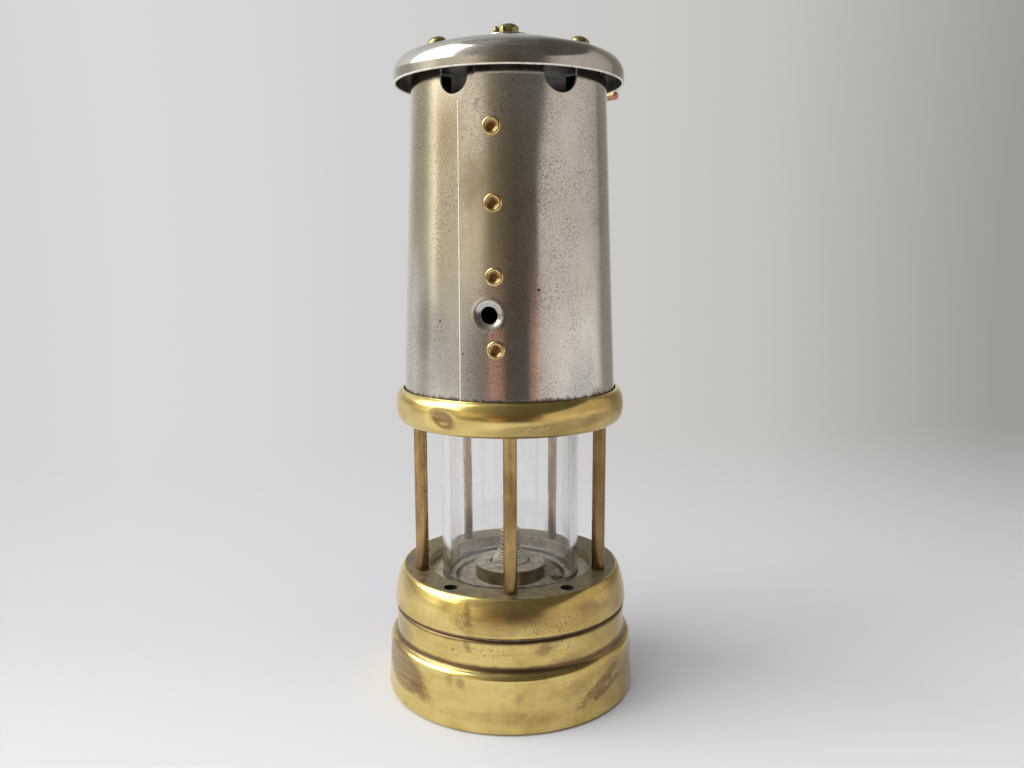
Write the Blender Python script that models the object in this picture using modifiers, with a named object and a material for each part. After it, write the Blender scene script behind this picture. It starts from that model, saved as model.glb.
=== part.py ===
"""Miner's flame safety lamp: oil vessel, glass in a pillared frame, gauzes, bonnet and hook.

Metres, +Z up. The origin is the centre of the vessel's flat underside. The lamp's front, where
the bonnet's riveted seam is, faces -Y. Angles are measured about Z from the front, and grow
towards +X.
"""
import math

import bmesh
import bpy
from mathutils import Vector

MM = 0.001

# Mesh fineness
BIG_ROUND = 36
MID_ROUND = 24
SMALL_ROUND = 12
MERGE = 1e-6
SHARP_ANGLE = math.radians(32)

# Oil vessel
DRUM_RADIUS = 40.2 * MM
DRUM_TOP_RADIUS = 39.4 * MM
DRUM_TOP = 16.4 * MM
DRUM_FOOT = 1.5 * MM
WAIST_RADIUS = 37.3 * MM
WAIST_BOTTOM = 20.1 * MM
SHOULDER = 28.0 * MM
NECK_RADIUS = 33.9 * MM
NECK_TOP = 34.7 * MM
BOSS_RADIUS = 17.2 * MM
BOSS_TOP = 35.5 * MM
BOTTOM_PLATE_RADIUS = 33.0 * MM
BOTTOM_PLATE_THICKNESS = 1.8 * MM

# Burner, on the vessel's axis
BURNER_BASE = BOSS_TOP + 0.15 * MM
DISC_RADIUS = 11.5 * MM
DISC_BORE = 6.6 * MM
DISC_TOP = 40.2 * MM
NOZZLE_RADIUS = 6.2 * MM
NOZZLE_TOP = 45.6 * MM
TUBE_RADIUS = 2.7 * MM
TUBE_BORE = 2.2 * MM
TUBE_TOP = 51.0 * MM
WICK_RADIUS = 1.95 * MM

# Wick adjuster, whose spindle stands beside the wick
ADJUSTER_ANGLE = math.radians(76)
ADJUSTER_OFFSET = 15.5 * MM
SPINDLE_RADIUS = 1.6 * MM
SPINDLE_HOLE = 1.9 * MM
POCKET_RADIUS = 9.5 * MM
POCKET_DEPTH = 6.2 * MM
KNOB_RADIUS = 6.0 * MM

# Frame
RING_RADIUS = 37.7 * MM
RING_BOTTOM = 28.8 * MM
RING_TOP = 40.2 * MM
RING_DOME = 3.1 * MM
RING_LEDGE = 36.6 * MM
RING_OPENING = 26.6 * MM
PLATE_UNDERSIDE = 35.1 * MM
LIP_RADIUS = 17.9 * MM
PILLAR_COUNT = 5
PILLAR_RADIUS = 2.05 * MM
PILLAR_CIRCLE = 29.5 * MM
TENON_RADIUS = 1.3 * MM
TENON_HOLE = 1.6 * MM
AIR_HOLE_RADIUS = 2.1 * MM
AIR_HOLE_CIRCLE = 30.8 * MM
AIR_HOLE_ANGLES = (-107, -36, 34, 106, 180)
GLASS_RADIUS = 22.2 * MM
GLASS_BORE = 19.8 * MM
GLASS_BOTTOM = 37.95 * MM
GLASS_TOP = 90.4 * MM
BAND_RADIUS = 36.3 * MM
BAND_BOTTOM = 88.0 * MM
BAND_TOP = 98.4 * MM
BAND_GROOVE = 33.75 * MM
GLASS_RECESS_TOP = 91.9 * MM
FLOOR_TOP = 93.4 * MM
COLLAR_RADIUS = 26.9 * MM
COLLAR_BORE = 24.6 * MM
COLLAR_TOP = 97.6 * MM
OUTLET_RADIUS = 16.5 * MM

# Bonnet: a cone of sheet, lapped at the seam
SHEET = 0.7 * MM
LAP_GAP = 0.12 * MM
CONE_RADIUS = 33.34 * MM
CONE_DATUM = 98.3 * MM
CONE_SLOPE = 0.0386
BONNET_BOTTOM = 93.8 * MM
BONNET_TOP = 197.4 * MM
SEAM_X = 14.5 * MM
SLOT_BOTTOM = 184.6 * MM
SLOTS = ((-32.3, 9.1), (29.5, 11.2), (90, 10.7), (150, 10.7), (-150, 10.7), (-90, 10.7))
SEAM_RIVETS = ((-6.7, 113.3), (-7.5, 133.9), (-8.2, 154.3), (-9.0, 175.2))
LOCK_HOLE = (-10.7, 123.0)
LOCK_HOLE_RADIUS = 2.6 * MM

# Hood: a shallow spherical cap with a rounded shoulder
HOOD_RADIUS = 35.1 * MM
HOOD_APEX = 204.0 * MM
HOOD_RIM = 190.6 * MM
HOOD_SHEET = 0.85 * MM
CAP_RADIUS = 93.0 * MM
SHOULDER_RADIUS = 6.0 * MM
HOOD_RIVET_CIRCLE = 24.0 * MM
HOOD_RIVET_ANGLES = (60, 180, 300)
BRACKET_GAP = 0.45 * MM
BRACKET_STRIP = 1.0 * MM

# Swivel and hook
POST_RADIUS = 3.2 * MM
POST_FOOT = HOOD_APEX + 0.15 * MM
POST_TOP = 209.3 * MM
STEM_RADIUS = 2.1 * MM
PIN_HEIGHT = 207.1 * MM
PIN_RADIUS = 0.9 * MM
FORK_SLOT = 2.5 * MM
SWIVEL_TURN = math.radians(-8)
HOOK_DROOP = math.radians(-5.5)
HOOK_ROD = 1.7 * MM
NECK_ROD = 1.0 * MM
BOW_RADIUS = 13.3 * MM
BOW_CENTRE = (12.3 * MM, 83.8 * MM)

# Looks: base colour, roughness, metallic
POLISHED_BRASS = ((0.62, 0.47, 0.16), 0.24, 1.0)
AGED_BRASS = ((0.30, 0.20, 0.09), 0.38, 1.0)
DUSTY_BRASS = ((0.22, 0.19, 0.14), 0.60, 0.7)
RIVET_BRASS = ((0.55, 0.38, 0.14), 0.28, 1.0)
COPPER_ROD = ((0.50, 0.27, 0.16), 0.36, 1.0)
WORN_STEEL = ((0.45, 0.43, 0.40), 0.30, 1.0)
DARK_STEEL = ((0.10, 0.10, 0.10), 0.55, 0.9)
CLEAR_GLASS = ((0.95, 0.97, 0.97), 0.03, 0.0)
FIBRE_SEAL = ((0.10, 0.09, 0.08), 0.80, 0.0)
COTTON = ((0.75, 0.70, 0.60), 0.90, 0.0)


def polar(radius, degrees, height=0.0):
    """A point at a radius and an angle from the front, measured towards +X."""
    angle = math.radians(degrees)
    return Vector((radius * math.sin(angle), -radius * math.cos(angle), height))


ADJUSTER_AXIS = polar(ADJUSTER_OFFSET, math.degrees(ADJUSTER_ANGLE))


def cone_radius(height):
    """The bonnet's outer radius at a height."""
    return CONE_RADIUS - CONE_SLOPE * (height - CONE_DATUM)


def cap_drop(radius):
    """How far the hood's cap has fallen below its apex at a radius."""
    return CAP_RADIUS - math.sqrt(CAP_RADIUS ** 2 - radius ** 2)


def arc(centre, radius, start, end, steps):
    """Points along an arc in the plane of an outline, with angles in degrees from +X."""
    points = []
    for step in range(steps + 1):
        angle = math.radians(start + (end - start) * step / steps)
        points.append((centre[0] + radius * math.cos(angle), centre[1] + radius * math.sin(angle)))
    return points


def clear_scene():
    for item in list(bpy.data.objects):
        bpy.data.objects.remove(item, do_unlink=True)


def new_collection(name):
    collection = bpy.data.collections.new(name)
    bpy.context.scene.collection.children.link(collection)
    return collection


clear_scene()
PARTS = new_collection("miners_safety_lamp")
CUTTERS = new_collection("cutters")


def add_part(obj, look, parent=None):
    """Put a finished shape in the lamp, with its own material."""
    colour, roughness, metallic = look
    material = bpy.data.materials.new(obj.name)
    material.use_nodes = True
    shader = material.node_tree.nodes["Principled BSDF"]
    shader.inputs["Base Color"].default_value = (*colour, 1.0)
    shader.inputs["Roughness"].default_value = roughness
    shader.inputs["Metallic"].default_value = metallic
    if look is CLEAR_GLASS:
        shader.inputs["Transmission Weight"].default_value = 1.0
    obj.data.materials.append(material)
    PARTS.objects.link(obj)
    if parent:
        obj.parent = parent
    return obj


def add_axis(name, location, rotation=(0.0, 0.0, 0.0), parent=None):
    """An empty that marks a moving assembly's joint."""
    empty = bpy.data.objects.new(name, None)
    empty.location = location
    empty.rotation_euler = rotation
    empty.empty_display_size = 10 * MM
    empty.parent = parent
    PARTS.objects.link(empty)
    return empty


def turned(name, outline, segments=BIG_ROUND):
    """Spin (radius, height) points about Z. They run down the outer side first."""
    on_axis = outline[0][0] == 0.0
    edges = [(index, index + 1) for index in range(len(outline) - 1)]
    if not on_axis:
        edges.append((len(outline) - 1, 0))
    mesh = bpy.data.meshes.new(name)
    mesh.from_pydata([(radius, 0.0, height) for radius, height in outline], edges, [])
    return spun(name, mesh, segments)


def spun(name, mesh, segments):
    """An object whose profile mesh is swept once round Z."""
    obj = bpy.data.objects.new(name, mesh)
    screw = obj.modifiers.new("turn", "SCREW")
    screw.steps = segments
    screw.render_steps = segments
    screw.use_merge_vertices = True
    screw.merge_threshold = MERGE
    return obj


def ring(name, inner, outer, bottom, top, segments=BIG_ROUND):
    """A plain flat ring or tube."""
    return turned(name, [(outer, top), (outer, bottom), (inner, bottom), (inner, top)], segments)


def cylinder(name, radius, bottom, top, segments=SMALL_ROUND, tip_radius=None):
    """A cylinder, prism or cone along its own Z, from bottom to top."""
    bm = bmesh.new()
    bmesh.ops.create_cone(bm, cap_ends=True, segments=segments, radius1=radius,
                          radius2=radius if tip_radius is None else tip_radius,
                          depth=top - bottom)
    bmesh.ops.translate(bm, verts=bm.verts, vec=(0.0, 0.0, (bottom + top) / 2))
    mesh = bpy.data.meshes.new(name)
    bm.to_mesh(mesh)
    bm.free()
    return bpy.data.objects.new(name, mesh)


def box(name, low, high):
    """A block between two corners."""
    low, high = Vector(low), Vector(high)
    bm = bmesh.new()
    bmesh.ops.create_cube(bm, size=1.0)
    bmesh.ops.scale(bm, verts=bm.verts, vec=high - low)
    bmesh.ops.translate(bm, verts=bm.verts, vec=(low + high) / 2)
    mesh = bpy.data.meshes.new(name)
    bm.to_mesh(mesh)
    bm.free()
    return bpy.data.objects.new(name, mesh)


def solid_of_curve(name, curve):
    """The closed mesh of a curve object, whose loose caps are joined to its sides."""
    source = bpy.data.objects.new(name + "_curve", curve)
    bpy.context.scene.collection.objects.link(source)
    depsgraph = bpy.context.evaluated_depsgraph_get()
    mesh = bpy.data.meshes.new_from_object(source.evaluated_get(depsgraph))
    mesh.name = name
    bpy.data.objects.remove(source)
    bm = bmesh.new()
    bm.from_mesh(mesh)
    bmesh.ops.remove_doubles(bm, verts=bm.verts, dist=MERGE)
    bm.to_mesh(mesh)
    bm.free()
    return bpy.data.objects.new(name, mesh)


def plate(name, outline, thickness):
    """A flat outline in the local XY plane, with its thickness shared either side of it."""
    curve = bpy.data.curves.new(name, "CURVE")
    curve.dimensions = "2D"
    curve.fill_mode = "BOTH"
    curve.extrude = thickness / 2
    spline = curve.splines.new("POLY")
    spline.points.add(len(outline) - 1)
    for point, (across, up) in zip(spline.points, outline):
        point.co = (across, up, 0.0, 1.0)
    spline.use_cyclic_u = True
    return solid_of_curve(name, curve)


def aim(obj, location, direction):
    """Stand an object's local Z along a direction, with its local Y as near up as it goes."""
    obj.location = location
    obj.rotation_euler = direction.to_track_quat("Z", "Y").to_euler()
    return obj


def boolean(part, tool, operation):
    modifier = part.modifiers.new(tool.name, "BOOLEAN")
    modifier.operation = operation
    modifier.solver = "EXACT"
    modifier.object = tool
    CUTTERS.objects.link(tool)
    tool.hide_render = True
    tool.display_type = "WIRE"


def cut(part, tool):
    boolean(part, tool, "DIFFERENCE")


def join(part, tool):
    boolean(part, tool, "UNION")


def drill(part, label, radius, location, bottom, top):
    """An upright round hole."""
    tool = cylinder(f"{part.name}_{label}", radius, bottom, top)
    tool.location = (location[0], location[1], 0.0)
    cut(part, tool)


# ---------------------------------------------------------------- oil vessel

def vessel_outline():
    """The vessel's wall, from the edge of the wick hole out, down and back up inside."""
    foot = arc((DRUM_RADIUS - DRUM_FOOT, DRUM_FOOT), DRUM_FOOT, 0, -90, 3)
    brow = arc((DRUM_TOP_RADIUS - 2.2 * MM, DRUM_TOP), 2.2 * MM, 65, 0, 2)
    cove = [(WAIST_RADIUS, WAIST_BOTTOM), (WAIST_RADIUS + 0.25 * MM, WAIST_BOTTOM - 1.0 * MM)]
    outside = [
        (3.1 * MM, BOSS_TOP),
        (BOSS_RADIUS, BOSS_TOP),
        (BOSS_RADIUS, NECK_TOP),
        (NECK_RADIUS, NECK_TOP),
        (NECK_RADIUS, SHOULDER),
        (WAIST_RADIUS - 0.5 * MM, SHOULDER),
        (WAIST_RADIUS, SHOULDER - 0.5 * MM),
        (WAIST_RADIUS - 0.15 * MM, (SHOULDER + WAIST_BOTTOM) / 2),
        *cove,
        *brow,
        *foot,
    ]
    inside = [
        (BOTTOM_PLATE_RADIUS + 0.2 * MM, 0.0),
        (BOTTOM_PLATE_RADIUS + 0.2 * MM, BOTTOM_PLATE_THICKNESS + 0.2 * MM),
        (31.5 * MM, BOTTOM_PLATE_THICKNESS + 0.2 * MM),
        (31.5 * MM, 3.4 * MM),
        (38.4 * MM, 5.4 * MM),
        (37.2 * MM, 16.5 * MM),
        (35.4 * MM, 20.4 * MM),
        (35.4 * MM, 24.0 * MM),
        (31.8 * MM, 27.5 * MM),
        (31.8 * MM, 32.6 * MM),
        (3.1 * MM, 32.6 * MM),
    ]
    return outside + inside


def build_vessel():
    body = turned("vessel_body", vessel_outline())
    drill(body, "spindle_hole", SPINDLE_HOLE, ADJUSTER_AXIS, 30 * MM, 37 * MM)
    add_part(body, POLISHED_BRASS)

    bottom = cylinder("vessel_bottom", BOTTOM_PLATE_RADIUS, 0.0, BOTTOM_PLATE_THICKNESS, BIG_ROUND)
    dish = cylinder("pocket_dish", POCKET_RADIUS + 1.2 * MM, 0.0, POCKET_DEPTH + 1.4 * MM,
                    MID_ROUND)
    pocket = cylinder("pocket", POCKET_RADIUS, -MM, POCKET_DEPTH, MID_ROUND)
    for tool in (dish, pocket):
        tool.location = ADJUSTER_AXIS
    join(bottom, dish)
    cut(bottom, pocket)
    drill(bottom, "spindle_hole", SPINDLE_HOLE, ADJUSTER_AXIS, 5 * MM, 9 * MM)
    add_part(bottom, POLISHED_BRASS)

    gland = cylinder("spindle_gland", 4.2 * MM, POCKET_DEPTH + 1.7 * MM, 11.5 * MM, 6)
    gland.location = ADJUSTER_AXIS
    drill(gland, "bore", SPINDLE_HOLE, ADJUSTER_AXIS, 5 * MM, 13 * MM)
    add_part(gland, POLISHED_BRASS)


def build_burner():
    add_part(ring("burner_disc", DISC_BORE, DISC_RADIUS, BURNER_BASE, DISC_TOP, MID_ROUND),
             DUSTY_BRASS)

    bore = TUBE_RADIUS + 0.25 * MM
    ridges = []
    for index in range(6):
        height = 41.0 * MM - index * 0.8 * MM
        ridges.append((NOZZLE_RADIUS, height))
        ridges.append((NOZZLE_RADIUS - 0.4 * MM, height - 0.4 * MM))
    nozzle = [(bore, NOZZLE_TOP), (3.5 * MM, NOZZLE_TOP), *ridges,
              (NOZZLE_RADIUS, BURNER_BASE), (bore, BURNER_BASE)]
    add_part(turned("wick_nozzle", nozzle, MID_ROUND), DUSTY_BRASS)

    bead_pitch = 1.3 * MM
    beads = []
    for index in range(4):
        height = TUBE_TOP - index * bead_pitch
        beads.append((3.0 * MM, height))
        beads.append((3.35 * MM, height - bead_pitch / 2))
    foot = NOZZLE_TOP + 0.2 * MM
    tube = [(TUBE_BORE, TUBE_TOP), *beads, (3.0 * MM, foot), (TUBE_RADIUS, foot),
            (TUBE_RADIUS, 25 * MM), (TUBE_BORE, 25 * MM)]
    add_part(turned("wick_tube", tube, SMALL_ROUND), DUSTY_BRASS)


def build_adjuster():
    axis = add_axis("adjuster_axis", ADJUSTER_AXIS)
    spindle = cylinder("adjuster_spindle", SPINDLE_RADIUS, 3.0 * MM, 34.4 * MM)
    add_part(spindle, POLISHED_BRASS, axis)

    ridges = 24
    knurl = []
    for index in range(ridges * 2):
        angle = math.pi * index / ridges
        radius = KNOB_RADIUS - (index % 2) * 0.35 * MM
        knurl.append((radius * math.cos(angle), radius * math.sin(angle)))
    knob_bottom, knob_top = 1.2 * MM, 5.4 * MM
    knob = plate("adjuster_knob", knurl, knob_top - knob_bottom)
    knob.location = (0.0, 0.0, (knob_bottom + knob_top) / 2)
    drill(knob, "bore", SPINDLE_RADIUS + 0.15 * MM, ADJUSTER_AXIS, 2.7 * MM, 7 * MM)
    add_part(knob, POLISHED_BRASS, axis)


def build_wick():
    low, collar_top, nut_top = 16 * MM, 19 * MM, 20 * MM
    arm_half_width = 1.5 * MM
    carrier = cylinder("wick_carrier", 3.6 * MM, low, collar_top)
    nut = cylinder("carrier_nut", 3.4 * MM, low, nut_top)
    nut.location = ADJUSTER_AXIS
    arm = box("carrier_arm", (2.8 * MM, -arm_half_width, low + 0.3 * MM),
              (ADJUSTER_OFFSET - 2.6 * MM, arm_half_width, collar_top - 0.3 * MM))
    arm.rotation_euler = (0.0, 0.0, ADJUSTER_ANGLE - math.pi / 2)
    join(carrier, arm)
    join(carrier, nut)
    drill(carrier, "wick_hole", WICK_RADIUS + 0.2 * MM, (0.0, 0.0), 10 * MM, 24 * MM)
    drill(carrier, "spindle_hole", SPINDLE_HOLE, ADJUSTER_AXIS, 10 * MM, 24 * MM)
    add_part(carrier, POLISHED_BRASS)

    add_part(cylinder("wick", WICK_RADIUS, 8 * MM, 50.6 * MM), COTTON)


# --------------------------------------------------------------------- frame

def dome_outline():
    """The base ring's domed side, from its top edge down."""
    foot = RING_BOTTOM + 0.4 * MM
    points = []
    for rise in (1.0, 0.97, 0.88, 0.72, 0.5, 0.25, 0.0):
        inset = RING_DOME * (1 - (1 - rise ** 1.6) ** (1 / 1.6))
        points.append((RING_RADIUS - inset, foot + (RING_TOP - foot) * rise))
    return points


def build_frame_rings():
    base = turned("base_ring", [
        (RING_OPENING, RING_TOP),
        *dome_outline(),
        (RING_RADIUS - 0.5 * MM, RING_BOTTOM),
        (NECK_RADIUS + 0.4 * MM, RING_BOTTOM),
        (NECK_RADIUS + 0.4 * MM, PLATE_UNDERSIDE),
        (LIP_RADIUS, PLATE_UNDERSIDE),
        (LIP_RADIUS, RING_LEDGE),
        (RING_OPENING, RING_LEDGE),
    ])
    bulge = BAND_RADIUS - BAND_GROOVE - 0.2 * MM
    half_height = (BAND_TOP - BAND_BOTTOM) / 2
    band = [(BAND_RADIUS - bulge + bulge * across, BAND_BOTTOM + half_height * (1 + up))
            for across, up in arc((0.0, 0.0), 1.0, 90, -90, 6)]
    middle = turned("middle_ring", [
        *band,
        (GLASS_RADIUS + 0.6 * MM, BAND_BOTTOM),
        (GLASS_RADIUS + 0.6 * MM, GLASS_RECESS_TOP),
        (OUTLET_RADIUS, GLASS_RECESS_TOP),
        (OUTLET_RADIUS, FLOOR_TOP),
        (COLLAR_BORE, FLOOR_TOP),
        (COLLAR_BORE, COLLAR_TOP),
        (COLLAR_RADIUS, COLLAR_TOP),
        (COLLAR_RADIUS, FLOOR_TOP),
        (BAND_GROOVE, FLOOR_TOP),
        (BAND_GROOVE, BAND_TOP),
    ])
    step = 360 / PILLAR_COUNT
    for index in range(PILLAR_COUNT):
        seat = polar(PILLAR_CIRCLE, index * step)
        drill(base, f"tenon_hole_{index + 1}", TENON_HOLE, seat, 33 * MM, 42 * MM)
        drill(middle, f"tenon_hole_{index + 1}", TENON_HOLE, seat, 86 * MM, 92 * MM)
    for index, angle in enumerate(AIR_HOLE_ANGLES):
        air_hole = polar(AIR_HOLE_CIRCLE, angle)
        drill(base, f"air_hole_{index + 1}", AIR_HOLE_RADIUS, air_hole, 33 * MM, 42 * MM)
    add_part(base, POLISHED_BRASS)
    add_part(middle, POLISHED_BRASS)


def build_pillars():
    gap = 0.2 * MM
    outline = [
        (0.0, GLASS_RECESS_TOP - 0.3 * MM),
        (TENON_RADIUS, GLASS_RECESS_TOP - 0.3 * MM),
        (TENON_RADIUS, BAND_BOTTOM - gap),
        (PILLAR_RADIUS, BAND_BOTTOM - gap),
        (PILLAR_RADIUS, RING_TOP + gap),
        (TENON_RADIUS, RING_TOP + gap),
        (TENON_RADIUS, PLATE_UNDERSIDE + 0.4 * MM),
        (0.0, PLATE_UNDERSIDE + 0.4 * MM),
    ]
    for index in range(PILLAR_COUNT):
        pillar = turned(f"pillar_{index + 1}", outline, SMALL_ROUND)
        pillar.location = polar(PILLAR_CIRCLE, index * 360 / PILLAR_COUNT)
        add_part(pillar, AGED_BRASS)


def build_glass():
    add_part(ring("glass", GLASS_BORE, GLASS_RADIUS, GLASS_BOTTOM, GLASS_TOP), CLEAR_GLASS)
    washer_bore = GLASS_BORE + 0.4 * MM
    washer_radius = GLASS_RADIUS + 0.1 * MM
    add_part(ring("lower_gasket", washer_bore, washer_radius, RING_LEDGE + 0.15 * MM,
                  GLASS_BOTTOM - 0.2 * MM), FIBRE_SEAL)
    add_part(ring("upper_gasket", washer_bore, washer_radius, GLASS_TOP + 0.2 * MM,
                  GLASS_RECESS_TOP - 0.2 * MM), FIBRE_SEAL)


def gauze(name, foot_radius, top_radius, top):
    """A thimble of wire cloth, as a thin wall that is open at its foot."""
    wall = 0.5 * MM
    foot = FLOOR_TOP + 0.2 * MM
    return turned(name, [(0.0, top), (top_radius - MM, top), (top_radius, top - MM),
                         (foot_radius, foot), (foot_radius - wall, foot),
                         (top_radius - wall, top - 1.2 * MM), (top_radius - 1.4 * MM, top - wall),
                         (0.0, top - wall)], MID_ROUND)


def build_gauzes():
    add_part(gauze("outer_gauze", 20.3 * MM, 17.8 * MM, 178 * MM), DARK_STEEL)
    add_part(gauze("inner_gauze", 17.5 * MM, 14.8 * MM, 168 * MM), DARK_STEEL)
    ring_bottom = FLOOR_TOP + 0.2 * MM
    add_part(ring("gauze_ring", 17.7 * MM, 19.5 * MM, ring_bottom, 95.2 * MM), POLISHED_BRASS)
    add_part(ring("gauze_clamp_ring", 20.6 * MM, COLLAR_BORE - 0.3 * MM, ring_bottom,
                  COLLAR_TOP - 0.2 * MM), POLISHED_BRASS)


# -------------------------------------------------------------------- bonnet

def sheet_point(turn, height):
    """A point of the rolled sheet, a turn in degrees to the right of its outer edge."""
    joggle_start, joggle_end = 339, 356
    blend = min(max((turn - joggle_start) / (joggle_end - joggle_start), 0.0), 1.0)
    inset = (SHEET + LAP_GAP) * blend * blend * (3 - 2 * blend)
    radius = cone_radius(height)
    seam = -math.degrees(math.asin(SEAM_X / radius))
    return polar(radius - inset, seam + turn, height)


def bonnet_sheet():
    """A flat sheet rolled into a cone, whose end laps under its start."""
    whole_turn = 391
    columns, rows = 64, 2
    bm = bmesh.new()
    bmesh.ops.create_grid(bm, x_segments=columns, y_segments=rows, size=0.5)
    for vertex in bm.verts:
        turn = (vertex.co.x + 0.5) * whole_turn
        height = BONNET_BOTTOM + (vertex.co.y + 0.5) * (BONNET_TOP - BONNET_BOTTOM)
        vertex.co = sheet_point(turn, height)
    mesh = bpy.data.meshes.new("bonnet_shell")
    bm.to_mesh(mesh)
    bm.free()
    shell = bpy.data.objects.new("bonnet_shell", mesh)
    solidify = shell.modifiers.new("thickness", "SOLIDIFY")
    solidify.thickness = SHEET
    solidify.offset = -1.0
    return shell


def radial_tool(obj, degrees, height, radius=0.0):
    """Aim a tool outwards from the lamp's axis."""
    return aim(obj, polar(radius, degrees, height), polar(1.0, degrees))


def build_bonnet(axis):
    shell = bonnet_sheet()
    for index, (degrees, width) in enumerate(SLOTS):
        half = width * MM / 2
        slot_outline = [*arc((0.0, 0.0), half, 180, 360, 8), (half, 20 * MM), (-half, 20 * MM)]
        slot = plate(f"slot_{index + 1}", slot_outline, 12 * MM)
        cut(shell, radial_tool(slot, degrees, SLOT_BOTTOM + half, 30 * MM))
    for index, (degrees, height) in enumerate(SEAM_RIVETS):
        hole = cylinder(f"seam_rivet_hole_{index + 1}", 1.4 * MM, 26 * MM, 36 * MM)
        cut(shell, radial_tool(hole, degrees, height * MM))
    lock_angle, lock_height = LOCK_HOLE[0], LOCK_HOLE[1] * MM
    surface = cone_radius(lock_height)
    hole = cylinder("lock_hole", LOCK_HOLE_RADIUS, 26 * MM, 36 * MM)
    cut(shell, radial_tool(hole, lock_angle, lock_height))
    dish = cylinder("lock_hole_dish", LOCK_HOLE_RADIUS, surface - 0.55 * MM, surface + 0.4 * MM,
                    MID_ROUND, tip_radius=6.2 * MM)
    cut(shell, radial_tool(dish, lock_angle, lock_height))
    add_part(shell, WORN_STEEL, axis)

    add_part(ring("bonnet_foot_ring", COLLAR_RADIUS + 0.3 * MM, 31.7 * MM,
                  FLOOR_TOP + 0.3 * MM, COLLAR_TOP - 0.2 * MM), POLISHED_BRASS, axis)


def build_seam_rivets(axis):
    """Tubular rivets: a hollow head outside, a shank through both laps, a flare inside."""
    head, shank, dimple = 2.65 * MM, 1.2 * MM, 1.3 * MM
    outer_face = 0.15 * MM
    inner_face = -(2 * SHEET + LAP_GAP + 0.35 * MM)
    outline = [
        (0.0, outer_face + 0.4 * MM),
        (dimple, outer_face + 0.5 * MM),
        (dimple + 0.3 * MM, outer_face + 1.2 * MM),
        (head - 0.5 * MM, outer_face + 1.05 * MM),
        (head, outer_face + 0.4 * MM),
        (head - 0.1 * MM, outer_face),
        (shank, outer_face),
        (shank, inner_face),
        (2.0 * MM, inner_face),
        (1.9 * MM, inner_face - 0.5 * MM),
        (0.0, inner_face - 0.6 * MM),
    ]
    for index, (degrees, height) in enumerate(SEAM_RIVETS):
        rivet = turned(f"seam_rivet_{index + 1}", outline, SMALL_ROUND)
        radial_tool(rivet, degrees, height * MM, cone_radius(height * MM))
        add_part(rivet, RIVET_BRASS, axis)


# ---------------------------------------------------------------------- hood

def hood_outline():
    """The hood's outer face, from the swivel hole to the rim."""
    shoulder_centre_radius = HOOD_RADIUS - SHOULDER_RADIUS
    joint = shoulder_centre_radius / (1 - SHOULDER_RADIUS / CAP_RADIUS)
    slope = math.degrees(math.asin(joint / CAP_RADIUS))
    joint_height = HOOD_APEX - cap_drop(joint)
    centre = (shoulder_centre_radius,
              joint_height - SHOULDER_RADIUS * math.cos(math.radians(slope)))
    hole, steps = 2.5 * MM, 3
    cap = []
    for step in range(steps):
        radius = hole + (joint - hole) * step / steps
        cap.append((radius, HOOD_APEX - cap_drop(radius)))
    return cap + arc(centre, SHOULDER_RADIUS, 90 - slope, 0, 3) + [(HOOD_RADIUS, HOOD_RIM)]


def on_hood(degrees, radius):
    """A point on the hood's outer face, and the face's outward direction there."""
    slope = math.asin(radius / CAP_RADIUS)
    point = polar(radius, degrees, HOOD_APEX - cap_drop(radius))
    outward = polar(math.sin(slope), degrees, math.cos(slope))
    return point, outward


def build_hood(axis):
    outline = hood_outline()
    edges = [(index, index + 1) for index in range(len(outline) - 1)]
    mesh = bpy.data.meshes.new("hood")
    mesh.from_pydata([(radius, 0.0, height) for radius, height in outline], edges, [])
    hood = spun("hood", mesh, BIG_ROUND)
    solidify = hood.modifiers.new("thickness", "SOLIDIFY")
    solidify.thickness = HOOD_SHEET
    solidify.offset = -1.0
    for index, degrees in enumerate(HOOD_RIVET_ANGLES):
        point, outward = on_hood(degrees, HOOD_RIVET_CIRCLE)
        hole = cylinder(f"hood_rivet_hole_{index + 1}", 1.7 * MM, -4 * MM, 3 * MM)
        cut(hood, aim(hole, point, outward))
    add_part(hood, WORN_STEEL, axis)


def bracket_outline():
    """An L of flat strip: one leg up the bonnet's inside, the other under the hood."""
    width = 8 * MM
    wall = cone_radius(BONNET_TOP) - SHEET
    leg_face = math.sqrt(wall ** 2 - (width / 2) ** 2) - 0.15 * MM
    slope = math.tan(math.asin(HOOD_RIVET_CIRCLE / CAP_RADIUS))
    underside = HOOD_APEX - cap_drop(HOOD_RIVET_CIRCLE) - HOOD_SHEET - BRACKET_GAP
    tab_end, leg_end = 20.5 * MM, 186.5 * MM

    def tab(radius):
        return underside - slope * (radius - HOOD_RIVET_CIRCLE)

    return width, [
        (leg_face, leg_end),
        (leg_face, tab(leg_face)),
        (tab_end, tab(tab_end)),
        (tab_end, tab(tab_end) - BRACKET_STRIP),
        (leg_face - BRACKET_STRIP, tab(leg_face - BRACKET_STRIP) - BRACKET_STRIP),
        (leg_face - BRACKET_STRIP, leg_end),
    ]


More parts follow.
